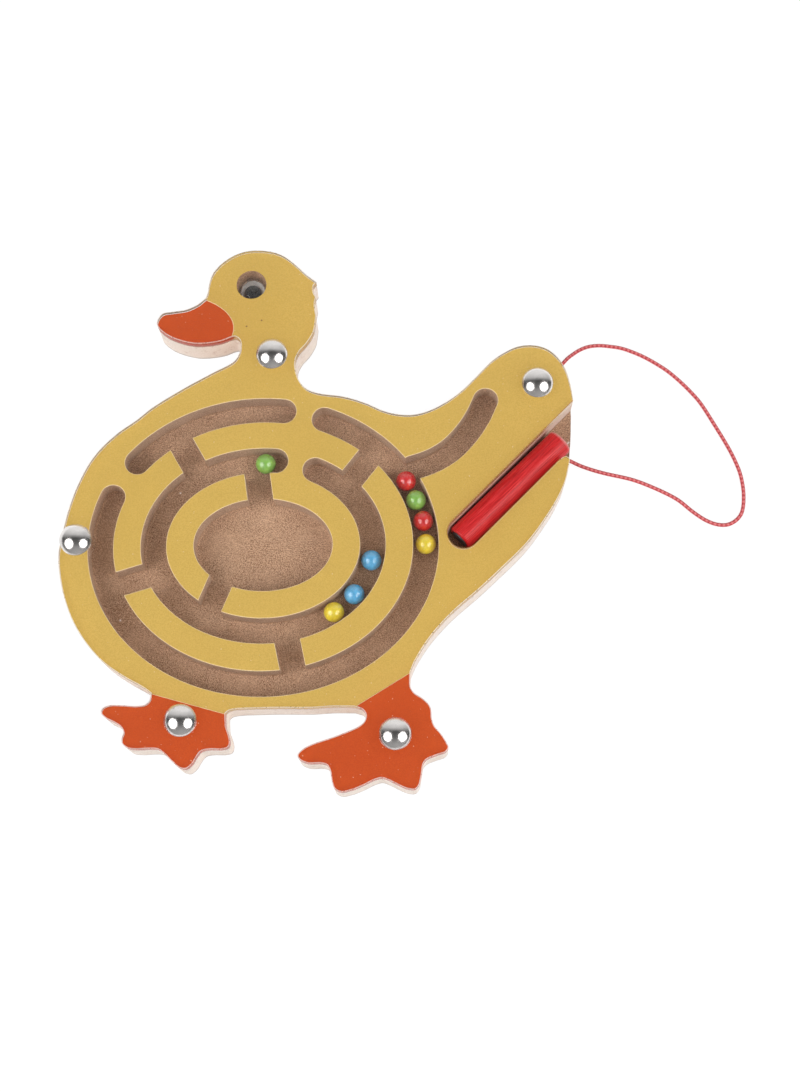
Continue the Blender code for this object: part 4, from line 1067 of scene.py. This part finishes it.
left, bottom, right = (passage_angle(name) for name in ("left", "bottom", "upper_right"))
top, corner = (passage_angle(name) for name in ("chamber_top", "chamber_corner"))
core = (CHAMBER[0] - OVERRUN, CHAMBER[1] - OVERRUN)
ISLANDS = {
    "ring_face_print_left": sector_loop(INNER_RING, OUTER_RING, left, bottom),
    "ring_face_print_right": sector_loop(INNER_RING, OUTER_RING, bottom, right),
    "core_face_print": sector_loop(core, INNER_RING, top, corner),
}


def body_face_loop():
    """The outline with the feet cut off straight and the beak cut off along its seam."""
    loop = []
    for name, stretch in STRETCHES.items():
        if name not in PRINTED_ORANGE:
            loop += [point for point in stretch if point not in loop]
    return loop + [point for point in reversed(BEAK_SEAM) if point not in loop]


lands = [
    prism("cut_" + name, loop, PRIMER_Z - OVERRUN, FACE_TOP_Z + OVERRUN, primer)
    for name, loop in ISLANDS.items()
]
body_face = inset_loop(body_face_loop(), OUTLINE_INSET)
beak_face = inset_loop(joined([STRETCHES["beak"], BEAK_SEAM]), BEAK_INSET)
FACES = {
    "body_face_print": (body_face, yellow, wide_maze + lands + wide_slot + eye_hole + sleeves),
    **{name: (loop, yellow, wide_maze) for name, loop in ISLANDS.items()},
    "beak_face_print": (beak_face, orange, []),
    **{
        foot + "_face_print": (inset_loop(STRETCHES[foot], OUTLINE_INSET), orange, sleeves)
        for foot in ("left_foot", "right_foot")
    },
}
for name, (loop, ink, cutters) in FACES.items():
    face = prism(name.replace("_face", ""), loop, PRIMER_Z + PRINT_LIFT, FACE_TOP_Z, ink)
    if cutters:
        cut(face, cutters)
    finish_piece(face, "board", name)

# The clear cover, whose finishes are the sheet, a painted highlight on its top edge, its side
# tinted as painted shade, and its sawn slot
COVER_CREASE = math.radians(60)
COVER_FLAT = 0.97
COVER_SLOPED = 0.2
# EDGE holds the top edges' painted highlight and SIDE the side's painted shade.
SHEET, EDGE, SIDE, SAWN = range(4)
sheet_material = clear_material("acrylic", (0.99, 0.99, 0.985))
# The brown tint on the cover's side and slot chamfers is painted shade of the joint and slot edge.
shaded_side_material = clear_material("acrylic_side_shade", (0.46, 0.28, 0.20), 0.02, 0.05)
cover = prism("cover_sheet", OUTLINE, COVER_UNDERSIDE_Z, COVER_TOP_Z, sheet_material)
for material in (
    # Pale frosting on the cover's top edges: a painted highlight.
    frosted_material("acrylic_edge_highlight", (0.96, 0.92, 0.86), 0.60),
    shaded(shaded_side_material, {"Specular IOR Level": 0.1}),
    # The sawn slot's acrylic is pale at the mouth and dark beside the pen: painted shade of the pen.
    frosted_material("acrylic_sawn", (0.76, 0.64, 0.55), 0.30, (0.36, 0.21, 0.14)),
):
    cover.data.materials.append(material)
cut(cover, slot + sleeves)
top_edges = cover.data.attributes.new("bevel_weight_edge", "FLOAT", "EDGE")
work = bmesh.new()
work.from_mesh(cover.data)
for edge in work.edges:
    on_top = all(vert.co.z > COVER_TOP_Z - GAP / 2 for vert in edge.verts)
    if on_top and edge.calc_face_angle(0) > COVER_CREASE:
        top_edges.data[edge.index].value = 1.0
work.free()
chamfer = cover.modifiers.new("chamfer", "BEVEL")
chamfer.width = COVER_EDGE_RADIUS
chamfer.segments = BEVEL_SEGMENTS
chamfer.limit_method = "WEIGHT"
chamfer.use_clamp_overlap = False
cut(cover, [])
for polygon in cover.data.polygons:
    flatness = abs(polygon.normal.z)
    sloped = flatness > COVER_SLOPED
    reach = polygon.center.xy - SLOT_END
    across = abs(reach.dot(along(SLOT_ANGLE + math.pi / 2)))
    beside_slot = across < SLOT_WIDTH / 2 + COVER_EDGE_RADIUS
    if flatness > COVER_FLAT:
        polygon.material_index = SHEET
    elif beside_slot and reach.dot(along(SLOT_ANGLE)) > -SLOT_WIDTH:
        polygon.material_index = SIDE if sloped else SAWN
    else:
        polygon.material_index = EDGE if sloped else SIDE
    polygon.use_smooth = flatness < COVER_FLAT

# The finishes of the cutters came with the cuts and go again.
while len(cover.data.materials) > SAWN + 1:
    cover.data.materials.pop()
cover.visible_shadow = False
finish_piece(cover, "board", "clear_cover")
discard(maze + slot + eye_hole + sleeves + ways + wide_maze + wide_slot + lands)

# The dome nuts and the screws behind them
DOME_RADIUS = 0.00465
DOME_RIM_HEIGHT = 0.0006
DOME_CROWN_HEIGHT = 0.0024
DOME_EDGE_RADIUS = 0.0003
DOME_EDGE_STEPS = 4
DOME_STEPS = 20
SLEEVE_RADIUS = 0.0020
SLEEVE_FOOT_HEIGHT = 0.0034
sleeve_foot = SLEEVE_FOOT_HEIGHT - COVER_TOP_Z - GAP
nut_seat = -GAP / 3
crown_radius = (DOME_RADIUS ** 2 + DOME_CROWN_HEIGHT ** 2) / (2 * DOME_CROWN_HEIGHT)
half_sweep = math.asin(DOME_RADIUS / crown_radius)
dome_top = DOME_RIM_HEIGHT + DOME_CROWN_HEIGHT
dome_profile = [(0, sleeve_foot), (SLEEVE_RADIUS, sleeve_foot), (SLEEVE_RADIUS, nut_seat)]
for inset, rise in reversed(corner_levels(DOME_EDGE_RADIUS, DOME_EDGE_STEPS)):
    dome_profile.append((DOME_RADIUS - inset, rise + nut_seat))
for step in range(DOME_STEPS):
    sweep = half_sweep * (1 - step / DOME_STEPS)
    drop = crown_radius * (1 - math.cos(sweep))
    dome_profile.append((crown_radius * math.sin(sweep), dome_top - drop))
dome_profile.append((0, dome_top))
chrome = metal_material("chrome_plate", (0.84, 0.81, 0.79), 0.10, 0.26, bump=0.000024)
zinc = metal_material("zinc_steel", (0.56, 0.56, 0.57), 0.28, 0.48, (1, 1, 0.2), 900)
for name, centre in FASTENERS.items():
    seat = (*centre, COVER_TOP_Z + GAP)
    nut = add_object("nut_" + name, turned_mesh("nut", dome_profile), chrome, seat)
    nut.visible_shadow = False
    finish_piece(nut, "board", "dome_nut_" + name)
    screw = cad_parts["back_screw_" + name]
    screw.data.materials.clear()
    screw.data.materials.append(zinc)
    round_edges(screw)

# The googly eye. The edge of its back is listed as how far in each point lies, and how high.
EYE_RADIUS = 0.004
EYE_BACK_THICKNESS = 0.0008
EYE_BACK_RIM = [
    (0.0002, 0), (0, 0.0002), (0, 0.0007), (0.0003, 0.0010), (0.0007, 0.0010), (0.0010, 0.0008),
]
EYE_BACK_Z = FLOOR_Z + GAP
EYE_TOP_Z = EYE_BACK_Z + EYE_BACK_THICKNESS + GAP
EYE_RIM_HEIGHT = 0.0006
EYE_LENS_HEIGHT = 0.0024
EYE_LENS_WALL = 0.00035
LENS_STEPS = 16
PUPIL_RADIUS = 0.0026
PUPIL_THICKNESS = 0.0005
PUPIL_EDGE_RADIUS = 0.00015
PUPIL_EDGE_STEPS = 3
PUPIL_DROP = 0.0006
dish = [
    (0, 0), *[(EYE_RADIUS - inset, height) for inset, height in EYE_BACK_RIM],
    (0, EYE_BACK_THICKNESS),
]
white = plastic_material("eye_white", (0.80, 0.80, 0.80), (0.72, 0.72, 0.73), 0.4)
eye_back = turned_object("eye_dish", dish, white, (*EYE_CENTRE, EYE_BACK_Z))
finish_piece(eye_back, "board", "eye_back")

pupil_edge = upper_edge(PUPIL_RADIUS, PUPIL_THICKNESS, PUPIL_EDGE_RADIUS, PUPIL_EDGE_STEPS)
disc = [(0, 0), (PUPIL_RADIUS, 0), *pupil_edge, (0, PUPIL_THICKNESS)]
black = plastic_material("pupil_black", (0.060, 0.062, 0.068), (0.002, 0.002, 0.003), 0.14)
pupil_place = (EYE_CENTRE.x, EYE_CENTRE.y - PUPIL_DROP, EYE_TOP_Z)
pupil = turned_object("pupil_disc", disc, black, pupil_place)
finish_piece(pupil, "pupil", "eye_pupil")

arch = [math.pi / 2 * step / LENS_STEPS for step in range(LENS_STEPS)]


def lens_arch(wall):
    """The lens's arch from its rim up, under a wall."""
    width, crown = EYE_RADIUS - wall, EYE_LENS_HEIGHT - EYE_RIM_HEIGHT - wall
    return [(width * math.cos(a), EYE_RIM_HEIGHT + crown * math.sin(a)) for a in arch]


shell = [
    (0, EYE_LENS_HEIGHT - EYE_LENS_WALL), *reversed(lens_arch(EYE_LENS_WALL)),
    (EYE_RADIUS - EYE_LENS_WALL, 0), (EYE_RADIUS, 0), *lens_arch(0), (0, EYE_LENS_HEIGHT),
]
eye_plastic = clear_material("eye_plastic", (0.97, 0.97, 0.96))
lens = turned_object("eye_dome", shell, eye_plastic, (*EYE_CENTRE, EYE_TOP_Z + GAP / 2))
lens.visible_shadow = False
finish_piece(lens, "board", "eye_lens")

# The balls
BALL_COLOURS = {
    "red": (0.70, 0.010, 0.014),
    "green": (0.250, 0.540, 0.090),
    "blue": (0.105, 0.470, 0.840),
    "yellow": (0.920, 0.730, 0.040),
}
BALL_SEGMENTS = 48
BALL_RINGS = 32
lacquers = {
    colour: lacquer_material("lacquer_" + colour, value) for colour, value in BALL_COLOURS.items()
}
ball_radius = BALL_DIAMETER / 2
ball_profile = [(0, -ball_radius)]
for step in range(1, BALL_RINGS):
    angle = math.pi * step / BALL_RINGS
    ball_profile.append((ball_radius * math.sin(angle), -ball_radius * math.cos(angle)))
ball_profile.append((0, ball_radius))
for name in ("red_1", "green_1", "red_2", "yellow_1", "blue_1", "blue_2", "yellow_2", "green_2"):
    low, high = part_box("ball_" + name)
    colour, number = name.split("_")
    marble = turned_mesh("marble", ball_profile, BALL_SEGMENTS)
    ball = add_object("marble_" + name, marble, lacquers[colour], (low + high) / 2)
    finish_piece(ball, colour + "_ball_" + number, "ball_" + name)

# The pen and its magnet, built upright and then laid in the slot
PEN_EDGE_STEPS = 6
MAGNET_RADIUS = 0.0028
MAGNET_LENGTH = 0.0050
MAGNET_PROUD = 0.0004
MAGNET_EDGE_RADIUS = 0.0003
TETHER_HOLE_DIAMETER = 0.0021
TETHER_HOLE_DEPTH = 0.0031
pen_radius, pen_half = PEN_DIAMETER / 2, PEN_LENGTH / 2
pen_z = FLOOR_Z + GAP + pen_radius
pen_turn = (0, math.pi / 2, PEN_ANGLE)
pen_edge = upper_edge(pen_radius, pen_half, PEN_EDGE_RADIUS, PEN_EDGE_STEPS)
socket_radius = MAGNET_RADIUS + GAP / 2
socket_floor = MAGNET_LENGTH - MAGNET_PROUD + GAP - pen_half
pen_profile = [
    (0, socket_floor), (socket_radius, socket_floor), (socket_radius, -pen_half),
    *[(x, -y) for x, y in reversed(pen_edge)], *pen_edge, (0, pen_half),
]
pen = turned_object("pen_stick", pen_profile, red_wood_material("red_wood"))
pen.location = (*PEN_MIDDLE, pen_z)
pen.rotation_euler = pen_turn
hole_top = pen_z - pen_radius + TETHER_HOLE_DEPTH
hole = hole_shape("cut_hole", (*TETHER_HOLE, 0), TETHER_HOLE_DIAMETER, FLOOR_Z - GAP, hole_top)
bpy.context.view_layer.update()
cut(pen, [hole])
discard([hole])
finish_piece(pen, "pen", "pen_body")

front = -pen_half - MAGNET_PROUD
magnet_profile = [
    (0, front), (MAGNET_RADIUS - MAGNET_EDGE_RADIUS, front),
    (MAGNET_RADIUS - MAGNET_EDGE_RADIUS / 3, front + MAGNET_EDGE_RADIUS / 3),
    (MAGNET_RADIUS, front + MAGNET_EDGE_RADIUS),
    (MAGNET_RADIUS, socket_floor - GAP), (0, socket_floor - GAP),
]
dark_metal = metal_material("sintered_magnet", (0.13, 0.13, 0.14), 0.35, 0.55)
magnet = turned_object("magnet_plug", magnet_profile, dark_metal, (*PEN_MIDDLE, pen_z))
magnet.rotation_euler = pen_turn
finish_piece(magnet, "pen", "pen_magnet")

# The floor, which glows to a straight look, in a mirror and through the cover. A limit between 0
# and 1 tells rays that have bounced from those that have not.
BOUNCE_LIMIT = 0.5
FLOOR_HALF = 3.0
FLOOR_DROP = 0.00005
FLOOR_GREY = (0.86, 0.86, 0.86)
FLOOR_GLOW = 1.10
FLOOR_GLOW_SHARE = 0.84
floor_material, tree = new_material("floor", {"Base Color": FLOOR_GREY, "Roughness": 0.9})
rays = tree.nodes.new("ShaderNodeLightPath").outputs
seen = calc("MAXIMUM", rays["Is Camera Ray"], rays["Is Glossy Ray"])
seen = calc("MAXIMUM", seen, rays["Is Transmission Ray"])
seen = calc("MULTIPLY", seen, calc("LESS_THAN", rays["Diffuse Depth"], BOUNCE_LIMIT))
glow = add_node(tree, "Emission", "Emission", {"Strength": FLOOR_GLOW})
glowing = add_node(tree, "MixShader", "Shader", {
    0: calc("MULTIPLY", seen, FLOOR_GLOW_SHARE),
    1: tree.nodes["Principled BSDF"].outputs["BSDF"],
    2: glow,
})
feed(tree.nodes["Material Output"].inputs["Surface"], glowing)
floor_work = bmesh.new()
bmesh.ops.create_grid(floor_work, x_segments=1, y_segments=1, size=FLOOR_HALF)
floor = add_object("floor", mesh_from(floor_work, "floor"), floor_material, (0, 0, -FLOOR_DROP))

# The world: white to a straight look or one through the cover, a room of greys in what mirrors it,
# and one grey to everything else
AMBIENT_GREY = (0.37, 0.37, 0.37)
ROOM_GREYS = (
    (0.04, 0.40), (0.16, 0.28), (0.30, 0.14), (0.44, 0.11), (0.56, 0.08), (0.62, 0.10), (0.70, 0.34),
    (0.78, 0.66), (0.93, 0.88),
)
world = bpy.data.worlds.new("studio")
bpy.context.scene.world = world
world.use_nodes = True
tree = world.node_tree
way = add_node(tree, "TexCoord", "Generated")
depth = levels(add_node(tree, "SeparateXYZ", "Y", {"Vector": way}), -1.0, 1.0)
room = ramp(depth, [(spot, (grey,) * 3) for spot, grey in ROOM_GREYS])
rays = tree.nodes.new("ShaderNodeLightPath").outputs
undiffused = calc("LESS_THAN", rays["Diffuse Depth"], BOUNCE_LIMIT)
mirrored = calc("GREATER_THAN", rays["Glossy Depth"], BOUNCE_LIMIT)
ambient = mixed(calc("MULTIPLY", mirrored, undiffused), AMBIENT_GREY, room)
seen = calc("MAXIMUM", rays["Is Camera Ray"], rays["Is Transmission Ray"])
bounces = calc("ADD", rays["Diffuse Depth"], rays["Glossy Depth"])
seen = calc("MULTIPLY", seen, calc("LESS_THAN", bounces, BOUNCE_LIMIT))
feed(tree.nodes["Background"].inputs["Color"], mixed(seen, ambient, (1.0, 1.0, 1.0)))

# Two softboxes, left and right
BOX_SIZE = 0.82
BOX_DISTANCE = 0.90
BOX_POWER = 4.25
BOX_HEADING = (0.68, -0.30, 0.67)
for name, side in (("left", -1), ("right", 1)):
    lamp = bpy.data.lights.new("softbox_" + name, "AREA")
    lamp.shape = "DISK"
    lamp.size = BOX_SIZE
    lamp.energy = BOX_POWER
    heading = Vector((side * BOX_HEADING[0], *BOX_HEADING[1:])).normalized()
    softbox = add_object("softbox_" + name, lamp, location=heading * BOX_DISTANCE)
    softbox.rotation_euler = heading.to_track_quat("Z", "Y").to_euler()

bpy.context.scene.view_settings.view_transform = "Standard"
